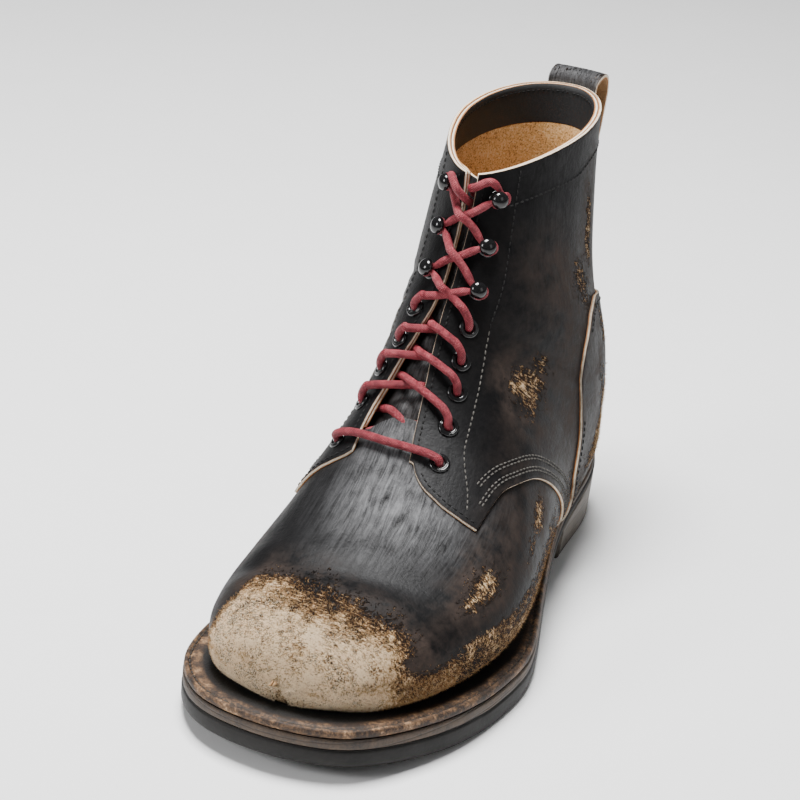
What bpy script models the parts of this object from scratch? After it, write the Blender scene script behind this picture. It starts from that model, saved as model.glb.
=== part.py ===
"""A worn lace-up motorcycle boot for the left foot, standing on its sole.

The forms are worked out in millimetres: x runs out to the lateral side, y back to the heel, z up
from the floor.  The leather is a fan of sections.  Each section is a plane through a point on the
top line (toe, throat, collar) and a point on the bottom line (feather edge, then the back seam).
"""
import math

import bmesh
import bpy
import numpy as np

MM = 0.001
GAP = 0.3                 # clearance between pieces that touch in the real boot
MIDDLE_X = 5.0            # the middle of the whole box, moved to the origin
MIDDLE_Y = -1.75

# ---- leather ---------------------------------------------------------------------------------
UPPER_WALL = 2.2
COUNTER_WALL = 1.5
COUNTER_GAP = 0.75         # both layers are faceted, so their clearance is a little more
TONGUE_WALL = 1.8
TONGUE_LACE_ROOM = 6.5    # depth of the tongue's face where laces pass over it
TONGUE_SNUG = 2.95        # and at its sides and foot, just inside the leather
TONGUE_HALF = 31.0
TONGUE_HALF_TOP = 22.0
ANKLE_TURN_DEG = -4.0     # the shaft turns a little towards the other foot
TURN_FROM_Z = 60.0
TURN_TO_Z = 200.0
TURN_CENTRE_Y = 75.0
SIDE_LOW_POWER = 2.1
THROAT_BASE = 7.0         # section where the throat opens
HEEL_SECTION = 12.0       # section where the feather edge ends and the back seam starts
TOE_SECTION = 1.0

# Sections: top y, top z, bottom y, bottom z, feather half width out and in, widest half width
# out and in, height share of the widest line, top line x, powers of the upper arc.
SECTION_COLUMNS = ("top_y", "top_z", "bot_y", "bot_z", "foot_out", "foot_in", "out", "inn",
                   "side", "ridge", "power_out", "power_in")
SECTIONS = (
    (-141.0, 32.0, -141.0, 32.0, 0.0, 0.0, 0.0, 0.0, 0.50, -4.0, 2.00, 2.00),  # toe tip
    (-138.0, 45.0, -137.5, 24.0, 0.0, 0.0, 20.5, 22.0, 0.46, -4.0, 2.00, 2.00),  # toe front
    (-129.0, 54.0, -129.0, 22.5, 23.0, 26.5, 34.0, 36.0, 0.42, -4.0, 2.10, 2.10),  # toe
    (-115.0, 59.0, -115.0, 21.0, 36.0, 37.5, 46.0, 44.5, 0.38, -4.5, 2.10, 2.10),  # over the toes
    (-96.0, 62.5, -96.0, 19.5, 45.0, 41.5, 54.5, 49.0, 0.35, -4.5, 2.10, 2.10),  # toe break
    (-73.5, 69.5, -72.0, 18.0, 51.0, 43.5, 61.0, 51.0, 0.32, -4.5, 2.00, 2.00),  # fore ball
    (-50.5, 81.0, -47.0, 17.0, 53.0, 42.5, 63.5, 50.0, 0.30, -4.5, 1.90, 1.95),  # ball
    (-30.5, 95.0, -20.0, 17.0, 50.0, 37.0, 61.0, 46.5, 0.29, -4.5, 1.85, 1.95),  # vamp
    (-16.5, 107.5, 14.0, 18.5, 43.0, 31.0, 55.0, 42.0, 0.30, -3.5, 1.80, 2.00),  # waist
    (-8.0, 117.5, 50.0, 22.5, 37.0, 29.0, 49.0, 39.0, 0.32, -2.5, 1.80, 2.15),  # instep
    (-1.5, 126.0, 87.0, 28.0, 33.0, 29.5, 44.5, 38.0, 0.33, -1.5, 1.80, 2.30),  # rear instep
    (4.0, 133.5, 118.0, 32.0, 25.5, 24.0, 42.5, 37.5, 0.37, -1.0, 1.80, 2.40),  # heel seat
    (9.0, 140.0, 136.5, 35.0, 0.0, 0.0, 42.5, 37.0, 0.46, -0.5, 1.80, 2.30),  # heel point
    (13.5, 146.0, 142.0, 55.0, 0.0, 0.0, 41.5, 37.0, 0.50, 0.0, 1.80, 2.10),  # heel bulge
    (17.5, 152.0, 141.0, 78.0, 0.0, 0.0, 39.0, 36.5, 0.52, 0.0, 1.80, 1.95),  # heel back
    (21.5, 158.5, 136.0, 101.5, 0.0, 0.0, 35.0, 36.0, 0.53, 0.0, 1.80, 1.85),  # counter top
    (25.0, 165.5, 132.0, 126.0, 0.0, 0.0, 31.5, 35.5, 0.52, 0.0, 1.75, 1.75),  # ankle
    (27.5, 173.0, 131.0, 152.0, 0.0, 0.0, 29.0, 34.5, 0.50, 0.0, 1.70, 1.70),  # shaft
    (29.5, 181.0, 131.0, 177.0, 0.0, 0.0, 26.5, 33.5, 0.46, 0.0, 1.65, 1.65),  # top band
    (30.5, 189.0, 131.5, 202.0, 0.0, 0.0, 25.0, 32.5, 0.42, 0.0, 1.60, 1.60),  # collar
)
LAST_SECTION = float(len(SECTIONS) - 1)

# Half width of the open throat along the top line: section, half width.
THROAT = ((7.0, 0.0), (7.08, 6.5), (7.3, 9.5), (7.6, 10.5), (8.6, 7.4), (9.6, 5.4), (11.1, 3.7),
          (13.3, 2.4), (15.8, 2.5), (19.0, 2.8))

# Lacing points up the throat: name, then section and distance from the top line on the
# lateral side and on the medial side.
LACING = (("eyelet_1", 6.75, 23.8, 6.90, 23.2), ("eyelet_2", 7.55, 21.0, 7.85, 20.5),
          ("eyelet_3", 8.55, 18.2, 8.85, 17.8), ("eyelet_4", 9.60, 14.6, 9.85, 13.2),
          ("eyelet_5", 11.05, 12.6, 11.30, 10.9), ("hook_1", 13.00, 11.2, 13.50, 9.6),
          ("hook_2", 15.40, 10.2, 15.95, 9.4), ("hook_3", 17.75, 9.8, 18.15, 9.6))

# Front edge of the heel counter: share up the side, section at the front, section at the top.
COUNTER_EDGE = ((0.0, 9.2, 15.2), (0.20, 9.3, 15.1), (0.41, 9.55, 14.95), (0.50, 10.25, 14.1),
                (0.55, 11.1, 12.9), (0.57, 11.8, 12.3))
COUNTER_LOW = 0.17        # the counter stops this share above the welt
COUNTER_SEAM = 12.4       # section where its two wings join on the back seam
COUNTER_TOP = 0.57
COUNTER_HEEL_ROOM = 1.95   # more clearance round the tight curve under the heel

# ---- sole ------------------------------------------------------------------------------------
# Stations: y, half width out, half width in, underside, outsole, midsole and welt thickness.
SOLE_COLUMNS = ("y", "out", "inn", "under", "outsole", "midsole", "welt")
SOLE = (
    (-152.5, 0.0, 0.0, 7.6, 7.5, 4.4, 3.6),        # toe end
    (-148.5, 23.0, 25.0, 7.1, 7.5, 4.4, 3.6),
    (-138.0, 38.5, 41.5, 5.8, 7.7, 4.5, 3.7),
    (-120.0, 51.0, 53.0, 3.4, 8.2, 4.7, 3.8),
    (-95.0, 62.0, 58.0, 1.1, 8.6, 4.8, 3.9),       # front of the ball
    (-64.0, 68.0, 58.0, 0.0, 8.5, 4.7, 3.9),       # ball
    (-36.0, 67.0, 52.5, 0.3, 7.8, 4.3, 3.7),
    (0.0, 57.0, 41.5, 3.0, 6.2, 3.7, 3.5),         # waist
    (40.0, 46.0, 35.5, 9.5, 4.2, 3.3, 3.2),
    (75.0, 40.0, 36.0, 16.0, 3.6, 3.2, 3.0),       # breast
    (110.0, 38.0, 37.0, 22.0, 3.2, 3.0, 2.8),      # heel
    (138.0, 26.5, 26.5, 25.6, 3.1, 2.9, 2.8),
    (149.0, 0.0, 0.0, 26.6, 3.1, 2.9, 2.8),        # heel end
)
BALL_Y = -64.0
FLAT_HALF = 14.0          # the tread is flat this far before and behind the ball
WELT_LIP = 6.0            # the welt strip runs this far in under the leather
INSOLE_RISE = 2.2
INSOLE_CLEAR = 1.2
FEATHER_HALF_WIDTH = 45.0
FEATHER_END_SHARE = 1.8   # the feather rows shrink this much faster at toe and heel
HEEL_HALF_WIDTH = 38.0
HEEL_REACH = 74.0         # from the middle of the heel to its back
SOLE_ROWS = 34
BREAST_Y = 69.0
BREAST_HOLLOW = 3.0       # the heel's front face curves back by this much at its middle
HEEL_TAPER = 1.5

# ---- laces, eyelets and hooks ------------------------------------------------------------------
LACE_R = 1.75
LACE_SIDES = 6
FITTING_SIDES = 10
FITTING_LIFT = 0.45       # eyelets and hooks are flat, so they sit a little further off the leather
EYELET_OUTER = 4.4
EYELET_HOLE = 2.2
EYELET_RISE = 1.1
HOOK_BASE_R = 3.9
HOOK_BASE_RISE = 0.9
HOOK_NECK_R = 1.6
HOOK_BALL_R = 3.3
HOOK_BALL_AT = 6.45
WRAP_R = 3.9              # middle of a lace that is round a hook's neck
OVER_EYELET = 3.9         # heights of a lace's middle above the leather
OVER_HOOK_BASE = 3.5
OVER_LEATHER = 2.45
OFF_HOOK = 6.2            # a lace comes down to the leather this far from a hook's middle
# The crossing strands part by this much at the middle, less than a lace, so they are one solid.
CROSS_OVER = 1.1
CROSS_UNDER = -1.5
CROSS_OVER_CLOSED = 4.6
INSIDE_OVER = -1.4         # the first crossing runs under both facings
INSIDE_UNDER = -4.25
END_DEPTH = -1.6
BAR_SAG = 0.12            # sections by which the bottom bar bows towards the toe
END_BEFORE_EDGE = 2.8
# Each end leaves hook 3 upwards: steps down from the collar, distance towards its side, height.
LATERAL_END = ((3.0, 6.6, 3.2), (4.3, 2.9, 2.4), (5.5, 0.8, 1.7), (6.2, 0.0, -1.5), (5.4, 0.0, -4.2),
               (2.0, 0.0, -4.4))
MEDIAL_END = ((2.6, 6.4, 4.6), (4.0, 3.4, 6.2), (7.2, 1.7, 5.8), (10.4, 0.5, 2.6), (12.0, 0.0, -1.5),
              (13.4, 0.0, -4.2), (19.0, 0.0, -4.4))

# ---- pull loop -----------------------------------------------------------------------------------
LOOP_HALF_WIDTH = 12.0
LOOP_THICK = 2.2
LOOP_FREE_FROM = 2.5      # the strap follows the shaft's curve up to here, then flattens out
LOOP_FREE_OVER = 7.0
LOOP_LEAST_BOW = 0.25
# Middle line of the strap: section, distance out from the leather's face, rise.
LOOP_PATH = ((16.9, 1.65, 0.0), (17.6, 1.7, 0.0), (18.4, 1.75, 0.0), (19.0, 1.85, 0.0),
             (19.0, 2.4, 2.3), (19.0, 4.2, 4.3), (19.0, 7.0, 5.0), (19.0, 10.0, 4.1),
             (19.0, 11.8, 1.0), (19.0, 12.1, -3.5), (18.6, 11.4, 0.0), (18.2, 9.6, 0.0),
             (17.8, 7.1, 0.0), (17.4, 4.9, 0.0), (17.1, 4.3, 0.0), (16.9, 4.2, 0.0))


# ---- curves ----------------------------------------------------------------------------------
def cubic(values, flat_start=False, flat_end=False):
    """Cubic through equally spaced values with free or level ends; returns f(position)."""
    v = np.asarray(values, float)
    n = len(v)
    a = np.zeros((n, n))
    b = np.zeros(n)
    for i in range(1, n - 1):
        a[i, i - 1:i + 2] = (1.0, 4.0, 1.0)
        b[i] = 6.0 * (v[i + 1] - 2.0 * v[i] + v[i - 1])
    a[0, 0] = 2.0 if flat_start else 1.0
    a[0, 1] = 1.0 if flat_start else 0.0
    b[0] = 6.0 * (v[1] - v[0]) if flat_start else 0.0
    a[-1, -1] = 2.0 if flat_end else 1.0
    a[-1, -2] = 1.0 if flat_end else 0.0
    b[-1] = 6.0 * (v[-2] - v[-1]) if flat_end else 0.0
    m = np.linalg.solve(a, b)

    def value(t):
        t = np.asarray(t, float)
        i = np.clip(t.astype(int), 0, n - 2)
        s = t - i
        bend = s * (1.0 - s) / 6.0 * ((2.0 - s) * m[i] + (1.0 + s) * m[i + 1])
        return v[i] * (1.0 - s) + v[i + 1] * s - bend
    return value


def column(rows, names, name):
    return [row[names.index(name)] for row in rows]


ODD = ("foot_out", "foot_in", "out", "inn")
SECTION = {name: cubic(column(SECTIONS, SECTION_COLUMNS, name), name not in ODD)
           for name in SECTION_COLUMNS}
WALL_Z = cubic(column(SECTIONS, SECTION_COLUMNS, "bot_z")[int(HEEL_SECTION):])
SOLE_ODD = ("out", "inn")
STATION = {name: cubic(column(SOLE, SOLE_COLUMNS, name), name not in SOLE_ODD,
                       name not in SOLE_ODD) for name in SOLE_COLUMNS}
STATION_U = np.linspace(0.0, len(SOLE) - 1.0, 481)
STATION_Y = STATION["y"](STATION_U)


def along_sole(name, y):
    """A sole column read at the distance y instead of at a station number."""
    u = np.interp(y, STATION_Y, STATION_U)
    return STATION[name](u)


def underside(y):
    """Height of the tread: flat for a short way about the ball, rising to toe and waist."""
    low = along_sole("under", y)
    away = np.clip(np.abs(np.asarray(y, float) - BALL_Y) / FLAT_HALF - 1.0, 0.0, 1.0)
    return np.clip(low, 0.0, None) * away * away * (3.0 - 2.0 * away)


def level(name, y):
    """Heights of the sole's layers at y, each clear of the one below by the gap."""
    z = underside(y)
    for part in ("outsole", "midsole", "welt"):
        if name == part + "_under":
            return z
        z = z + along_sole(part, y)
        if name == part + "_top":
            return z
        z = z + GAP
    return z


def seat(y):
    """Height of the leather's feather edge."""
    return level("seat", y)


# ---- the leather's surface ---------------------------------------------------------------------
def turned(points):
    """The shaft's small turn about an upright line through the ankle."""
    x, y, z = points[..., 0], points[..., 1] - TURN_CENTRE_Y, points[..., 2]
    share = np.clip((z - TURN_FROM_Z) / (TURN_TO_Z - TURN_FROM_Z), 0.0, 1.0)
    a = math.radians(ANKLE_TURN_DEG) * share
    return np.stack([x * np.cos(a) - y * np.sin(a),
                     x * np.sin(a) + y * np.cos(a) + TURN_CENTRE_Y, z], -1)


def section_ends(u):
    """Top and bottom point (y, z) of section u."""
    u = np.asarray(u, float)
    top = np.stack([SECTION["top_y"](u), SECTION["top_z"](u)], -1)
    bottom_y = SECTION["bot_y"](u)
    toe_z = SECTION["bot_z"](u)
    on_sole = seat(bottom_y)
    share = np.clip(u / TOE_SECTION, 0.0, 1.0)
    toe_z = toe_z + (seat(SECTION["bot_y"](TOE_SECTION)) - SECTION["bot_z"](TOE_SECTION)) * share
    back = WALL_Z(np.clip(u - HEEL_SECTION, 0.0, None))
    seat_at_heel = seat(SECTION["bot_y"](HEEL_SECTION))
    fade = np.clip(1.0 - (u - HEEL_SECTION), 0.0, 1.0)
    back = back + (seat_at_heel - WALL_Z(0.0)) * fade
    bottom_z = np.where(u < TOE_SECTION, toe_z, np.where(u > HEEL_SECTION, back, on_sole))
    return top, np.stack([bottom_y, bottom_z], -1)


def leather(u, s):
    """Points of the outer leather.

    u is the section, s the way across it: 0 on the top line, +1 at the lateral and -1 at the
    medial feather edge or back seam.  Each side is two quarter arcs that meet upright at the
    section's widest line.
    """
    u, s = np.broadcast_arrays(np.asarray(u, float), np.asarray(s, float))
    side = np.where(s < 0.0, -1.0, 1.0)
    v = 1.0 - np.abs(s)
    top, bottom = section_ends(u)
    height = np.hypot(*(top - bottom).transpose(-1, *range(u.ndim))) + 1e-9
    way = (top - bottom) / height[..., None]
    wide = np.where(side > 0, SECTION["out"](u), SECTION["inn"](u))
    foot = np.where(side > 0, SECTION["foot_out"](u), SECTION["foot_in"](u))
    foot = np.where((u > HEEL_SECTION) | (u < TOE_SECTION), 0.0, np.clip(foot, 0.0, None))
    mid = SECTION["side"](u) * height
    ridge = side * SECTION["ridge"](u)
    power = np.where(side > 0, SECTION["power_out"](u), SECTION["power_in"](u))
    low = np.clip(v / 0.5, 0.0, 1.0) * math.pi / 2
    high = np.clip(v / 0.5 - 1.0, 0.0, 1.0) * math.pi / 2
    low_sin = np.sin(low) ** (2.0 / SIDE_LOW_POWER)
    low_cos = np.clip(np.cos(low), 0.0, 1.0) ** (2.0 / SIDE_LOW_POWER)
    high_sin = np.sin(high) ** (2.0 / power)
    high_cos = np.clip(np.cos(high), 0.0, 1.0) ** (2.0 / power)
    lower = v <= 0.5
    x = np.where(lower, foot + (wide - foot) * low_sin, ridge + (wide - ridge) * high_cos)
    h = np.where(lower, mid * (1.0 - low_cos), mid + (height - mid) * high_sin)
    return turned(np.stack([side * x, bottom[..., 0] + way[..., 0] * h,
                            bottom[..., 1] + way[..., 1] * h], -1))


def across(u, distance, side):
    """s of the point of section u at this distance from the top line."""
    wide = SECTION["out"](u) if side > 0 else SECTION["inn"](u)
    power = SECTION["power_out"](u) if side > 0 else SECTION["power_in"](u)
    reach = wide - side * SECTION["ridge"](u)
    share = np.clip(np.asarray(distance, float) / reach, 0.0, 1.0) ** (power / 2.0)
    return side * (0.5 - np.arccos(share) / math.pi)


def normal(u, s):
    """Outward unit normal of the leather, from short steps along and across it."""
    u, s = np.broadcast_arrays(np.asarray(u, float), np.asarray(s, float))
    du, ds = 0.02, 0.012
    u = np.clip(u, 0.03, LAST_SECTION)
    ua, ub = np.clip(u - du, 0.0, None), np.clip(u + du, None, LAST_SECTION)
    sa, sb = s - ds, s + ds
    behind = u > HEEL_SECTION
    over = np.where(behind, np.where(sb > 1.0, sb - 2.0, sb), np.clip(sb, None, 1.0))
    under = np.where(behind, np.where(sa < -1.0, sa + 2.0, sa), np.clip(sa, -1.0, None))
    n = np.cross(leather(ub, s) - leather(ua, s), leather(u, over) - leather(u, under))
    size = np.linalg.norm(n, axis=-1, keepdims=True)
    return -n / np.maximum(size, 1e-9)


def offset(u, s, distance):
    return leather(u, s) + normal(u, s) * np.asarray(distance, float)[..., None]


# ---- meshes ------------------------------------------------------------------------------------
def material(name, colour, metallic=0.0, roughness=0.6):
    made = bpy.data.materials.new(name)
    made.use_nodes = True
    shader = made.node_tree.nodes["Principled BSDF"]
    shader.inputs["Base Color"].default_value = (*colour, 1.0)
    shader.inputs["Metallic"].default_value = metallic
    shader.inputs["Roughness"].default_value = roughness
    return made


def add(name, points, faces, look):
    """One object from points in millimetres; points that coincide are made one first."""
    points = np.asarray(points, float)
    _, first, index = np.unique(np.round(points, 4), axis=0, return_index=True,
                                return_inverse=True)
    index = index.reshape(-1)
    kept = []
    for face in faces:
        ring = [int(index[k]) for k in face]
        ring = [k for k, after in zip(ring, ring[1:] + ring[:1]) if k != after]
        if len(ring) > 2:
            kept.append(ring)
    moved = (points[first] - (MIDDLE_X, MIDDLE_Y, 0.0)) * MM
    mesh = bpy.data.meshes.new(name)
    mesh.from_pydata(moved.tolist(), [], kept)
    shape = bmesh.new()
    shape.from_mesh(mesh)
    bmesh.ops.recalc_face_normals(shape, faces=shape.faces)
    shape.to_mesh(mesh)
    shape.free()
    mesh.materials.append(look)
    made = bpy.data.objects.new(name, mesh)
    bpy.context.scene.collection.objects.link(made)
    return made


def grid_faces(base, rows, columns, flip=False):
    """Quads of a rows by columns grid of points that starts at index base."""
    faces = []
    for i in range(rows - 1):
        for j in range(columns - 1):
            a = base + i * columns + j
            quad = (a, a + 1, a + columns + 1, a + columns)
            faces.append(quad[::-1] if flip else quad)
    return faces


def sheet(outer, inner, flip=False):
    """A closed solid between two matching grids of points, with walls round all four sides."""
    rows, columns = outer.shape[:2]
    points = np.concatenate([outer.reshape(-1, 3), inner.reshape(-1, 3)])
    n = rows * columns
    faces = grid_faces(0, rows, columns, flip) + grid_faces(n, rows, columns, not flip)
    rim = [(0, j) for j in range(columns)] + [(i, columns - 1) for i in range(1, rows)]
    rim += [(rows - 1, j) for j in range(columns - 2, -1, -1)]
    rim += [(i, 0) for i in range(rows - 2, 0, -1)]
    ring = [i * columns + j for i, j in rim]
    for a, b in zip(ring, ring[1:] + ring[:1]):
        wall = (b, a, a + n, b + n)
        faces.append(wall[::-1] if flip else wall)
    return points, faces


def halves(name, grids, top_joined, base_joined, look):
    """A closed skin of two sides: lateral outer and inner, medial outer and inner grids.

    Rows run along the boot and columns from the top line down.  The sides share the first or
    last column on the rows marked joined, and have a wall there on the others.
    """
    outer_a, inner_a, outer_b, inner_b = grids
    for a, b in ((outer_a, outer_b), (inner_a, inner_b)):
        for rows, lane in ((top_joined, 0), (base_joined, -1)):
            a[rows, lane] = b[rows, lane] = (a[rows, lane] + b[rows, lane]) / 2
    rows, columns = outer_a.shape[:2]
    n = rows * columns
    faces = []
    for base in (0, 2 * n):
        faces += grid_faces(base, rows, columns) + grid_faces(base + n, rows, columns)
        for joined, lane in ((top_joined, 0), (base_joined, columns - 1)):
            for i in range(rows - 1):
                if not (joined[i] and joined[i + 1]):
                    a = base + i * columns + lane
                    faces.append((a, a + columns, a + columns + n, a + n))
        for i in (0, rows - 1):
            for j in range(columns - 1):
                a = base + i * columns + j
                faces.append((a, a + 1, a + 1 + n, a + n))
    return add(name, np.concatenate([g.reshape(-1, 3) for g in grids]), faces, look)


def tube(path, radius, sides):
    """A round rod along a path of points, closed at both ends."""
    path = np.asarray(path, float)
    along = np.gradient(path, axis=0)
    along /= np.linalg.norm(along, axis=1, keepdims=True)
    up = np.zeros_like(along)
    up[0] = np.cross(along[0], (0.0, 0.0, 1.0) if abs(along[0][2]) < 0.8 else (1.0, 0.0, 0.0))
    for k in range(1, len(path)):
        up[k] = up[k - 1]
    up -= (up * along).sum(1, keepdims=True) * along
    up /= np.linalg.norm(up, axis=1, keepdims=True)
    third = np.cross(along, up)
    angle = (np.arange(sides) + 0.3) * 2.0 * math.pi / sides
    ring = up[:, None] * np.cos(angle)[None, :, None] + third[:, None] * np.sin(angle)[None, :, None]
    points = (path[:, None] + radius * ring).reshape(-1, 3)
    faces = []
    for i in range(len(path) - 1):
        for j in range(sides):
            k = (j + 1) % sides
            faces.append((i * sides + j, i * sides + k, (i + 1) * sides + k, (i + 1) * sides + j))
    faces.append(tuple(range(sides))[::-1])
    faces.append(tuple((len(path) - 1) * sides + j for j in range(sides)))
    return points, faces


def band_faces(rings, sides, closed_loop):
    faces = []
    for i in range(rings if closed_loop else rings - 1):
        for j in range(sides):
            k = (j + 1) % sides
            n = (i + 1) % rings
            faces.append((i * sides + j, i * sides + k, n * sides + k, n * sides + j))
    return faces


def lathe(name, profile, centre, axis, look, sides):
    """A turned solid about the axis: profile rows are (radius, height).

    A profile that starts and ends on the axis makes a solid; any other is a closed ring.
    """
    spoke_a = np.cross(axis, (0.0, 0.0, 1.0))
    spoke_a /= np.linalg.norm(spoke_a)
    spoke_b = np.cross(axis, spoke_a)
    angle = np.arange(sides) * 2.0 * math.pi / sides
    spoke = spoke_a * np.cos(angle)[:, None] + spoke_b * np.sin(angle)[:, None]
    points = np.concatenate([centre + r * spoke + h * axis for r, h in profile])
    return add(name, points, band_faces(len(profile), sides, profile[0][0] > 0.0), look)


# ---- sole --------------------------------------------------------------------------------------
def outline(count=SOLE_ROWS, shrink=0.0):
    """Rows (y, lateral x, y, medial x) from toe end to heel end, moved in by shrink."""
    u = np.linspace(0.0, len(SOLE) - 1.0, count)
    sides = []
    for name, sign in (("out", 1.0), ("inn", -1.0)):
        x, y = sign * STATION[name](u), STATION["y"](u)
        dx, dy = np.gradient(x, u), np.gradient(y, u)
        dx[0], dy[0], dx[-1], dy[-1] = sign, 0.0, -sign, 0.0
        size = np.hypot(dx, dy)
        sides.append(np.stack([x - sign * shrink * dy / size, y + sign * shrink * dx / size], -1))
    lateral, medial = sides
    lateral[0, 0] = medial[0, 0] = lateral[-1, 0] = medial[-1, 0] = 0.0
    return lateral, medial


def feather(count=SOLE_ROWS, shrink=0.0):
    """The same rows along the leather's feather edge, drawn in about its middle."""
    u = np.linspace(TOE_SECTION, HEEL_SECTION, count)
    rows = []
    for side in (1.0, -1.0):
        plan = leather(u, np.full_like(u, side))[:, :2]
        middle = (plan[0, 1] + plan[-1, 1]) / 2
        plan[:, 0] *= 1.0 - shrink / FEATHER_HALF_WIDTH
        plan[:, 1] += (middle - plan[:, 1]) * FEATHER_END_SHARE * shrink / (plan[-1, 1] - middle)
        plan[[0, -1], 0] = 0.0
        rows.append(plan)
    return rows


def plate(name, layers, look):
    """A closed plate through layers of (rows, height of y), from the underside up."""
    count = len(layers[0][0][0])
    points = []
    for (lateral, medial), height in layers:
        for row in (lateral, medial):
            points.append(np.column_stack([row, height(row[:, 1])]))
    stack = np.concatenate(points)
    faces = []
    for k in range(count - 1):
        low = (k, k + 1, count + k + 1, count + k)
        faces.append(low)
        top = (len(layers) - 1) * 2 * count
        faces.append(tuple(top + q for q in low)[::-1])
        for step in range(len(layers) - 1):
            a = step * 2 * count
            b = a + 2 * count
            faces.append((a + k, b + k, b + k + 1, a + k + 1))
            faces.append((a + count + k + 1, b + count + k + 1, b + count + k, a + count + k))
    return add(name, stack, faces, look)


def strip(name, outside, inside, low, high, look):
    """A closed ring between an outer and an inner pair of rows."""
    loops = []
    for lateral, medial in (outside, inside):
        loops.append(np.concatenate([lateral, medial[-2:0:-1]]))
    n = len(loops[0])
    rings = [np.column_stack([loop, height(loop[:, 1])])
             for loop, height in ((loops[0], low), (loops[0], high), (loops[1], high),
                                  (loops[1], low))]
    faces = [face[::-1] for face in band_faces(4, n, True)]
    return add(name, np.concatenate(rings), faces, look)


def build_sole(looks):
    rows = outline()
    plate("outsole", [(outline(shrink=1.2), lambda y: level("outsole_under", y)),
                      (rows, lambda y: level("outsole_under", y) + 1.2),
                      (rows, lambda y: level("outsole_top", y))], looks["outsole"])
    slim = outline(shrink=0.5)
    plate("midsole", [(slim, lambda y: level("midsole_under", y)),
                      (slim, lambda y: level("midsole_top", y))], looks["midsole"])
    strip("welt", outline(shrink=0.9), feather(shrink=WELT_LIP),
          lambda y: level("welt_under", y), lambda y: level("welt_top", y), looks["welt"])
    core, board = feather(shrink=WELT_LIP + INSOLE_CLEAR), feather(shrink=INSOLE_CLEAR)
    plate("insole", [(core, lambda y: level("welt_under", y)),
                     (core, lambda y: seat(y)),
                     (board, lambda y: seat(y)),
                     (board, lambda y: seat(y) + INSOLE_RISE)], looks["insole"])
    build_heel(looks["heel"])


def build_heel(look):
    """The stacked heel: the sole's outline behind the breast, flat on the floor."""
    low = HEEL_TAPER
    y = BREAST_Y + (STATION_Y[-1] - BREAST_Y) * np.sin(np.linspace(0.0, math.pi / 2, 22))
    rings = []
    for shrink, height in ((low + 0.8, lambda q: 0.0 * q), (low, lambda q: 0.0 * q + 0.8),
                           (0.0, lambda q: level("outsole_under", q) - GAP)):
        scale = 1.0 - shrink / HEEL_HALF_WIDTH
        u = np.interp(y, STATION_Y, STATION_U)
        back = TURN_CENTRE_Y + (y - TURN_CENTRE_Y) * (1.0 - shrink / HEEL_REACH)
        lateral = np.column_stack([STATION["out"](u) * scale, back])
        medial = np.column_stack([-STATION["inn"](u) * scale, back])
        lateral[-1, 0] = medial[-1, 0] = 0.0
        middle = np.column_stack([(lateral[:, 0] + medial[:, 0]) / 2, back])
        middle[:, 1] += BREAST_HOLLOW * np.clip(1.0 - np.arange(len(y)) / 5.0, 0.0, 1.0)
        rings.append([np.column_stack([r, height(r[:, 1])]) for r in (lateral, middle, medial)])
    count = len(y)
    points = np.concatenate([np.concatenate(ring) for ring in rings])
    faces = []
    for k in range(count - 1):
        for lane in (0, 1):
            a = lane * count + k
            quad = (a, a + 1, a + count + 1, a + count)
            faces.append(quad)
            faces.append(tuple(2 * 3 * count + q for q in quad)[::-1])
        for step in range(2):
            a = step * 3 * count
            b = a + 3 * count
            faces.append((a + k, b + k, b + k + 1, a + k + 1))
            m = 2 * count
            faces.append((a + m + k + 1, b + m + k + 1, b + m + k, a + m + k))
    for step in range(2):
        a = step * 3 * count
        b = a + 3 * count
        for lane in (0, 1):
            p, q = lane * count, (lane + 1) * count
            faces.append((a + p, a + q, b + q, b + p))
    return add("heel", points, faces, look)


# ---- leather pieces ------------------------------------------------------------------------------
def build_upper(look):
    """Vamp and quarters as one hollow solid, open at the throat, the collar and underneath."""
    toe = np.array([0.0, 0.22, 0.45, 0.7])
    foot = np.arange(TOE_SECTION, THROAT_BASE + 0.01, 0.5)
    throat = np.array([7.08, 7.3, 7.6])
    shaft = np.arange(8.0, LAST_SECTION + 0.01, 0.5)
    u = np.concatenate([toe, foot, throat, shaft])
    half = np.interp(u, *zip(*THROAT), left=0.0)
    lanes = np.linspace(0.0, 1.0, 15)
    grids = []
    for side in (1.0, -1.0):
        edge = np.where(half > 0.0, across(u, half, side), 0.0)
        s = edge[:, None] + (side - edge[:, None]) * lanes[None, :]
        for inward in (0.0, UPPER_WALL):
            grids.append(offset(u[:, None], s, np.full(s.shape, -inward)))
    for a, b in ((0, 2), (1, 3)):
        tip = (grids[a][0].mean(axis=0) + grids[b][0].mean(axis=0)) / 2
        grids[a][0] = grids[b][0] = tip
    bottom_joined = (u <= TOE_SECTION + 1e-6) | (u >= HEEL_SECTION - 1e-6)
    halves("upper", grids, half <= 0.0, bottom_joined, look)


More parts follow.
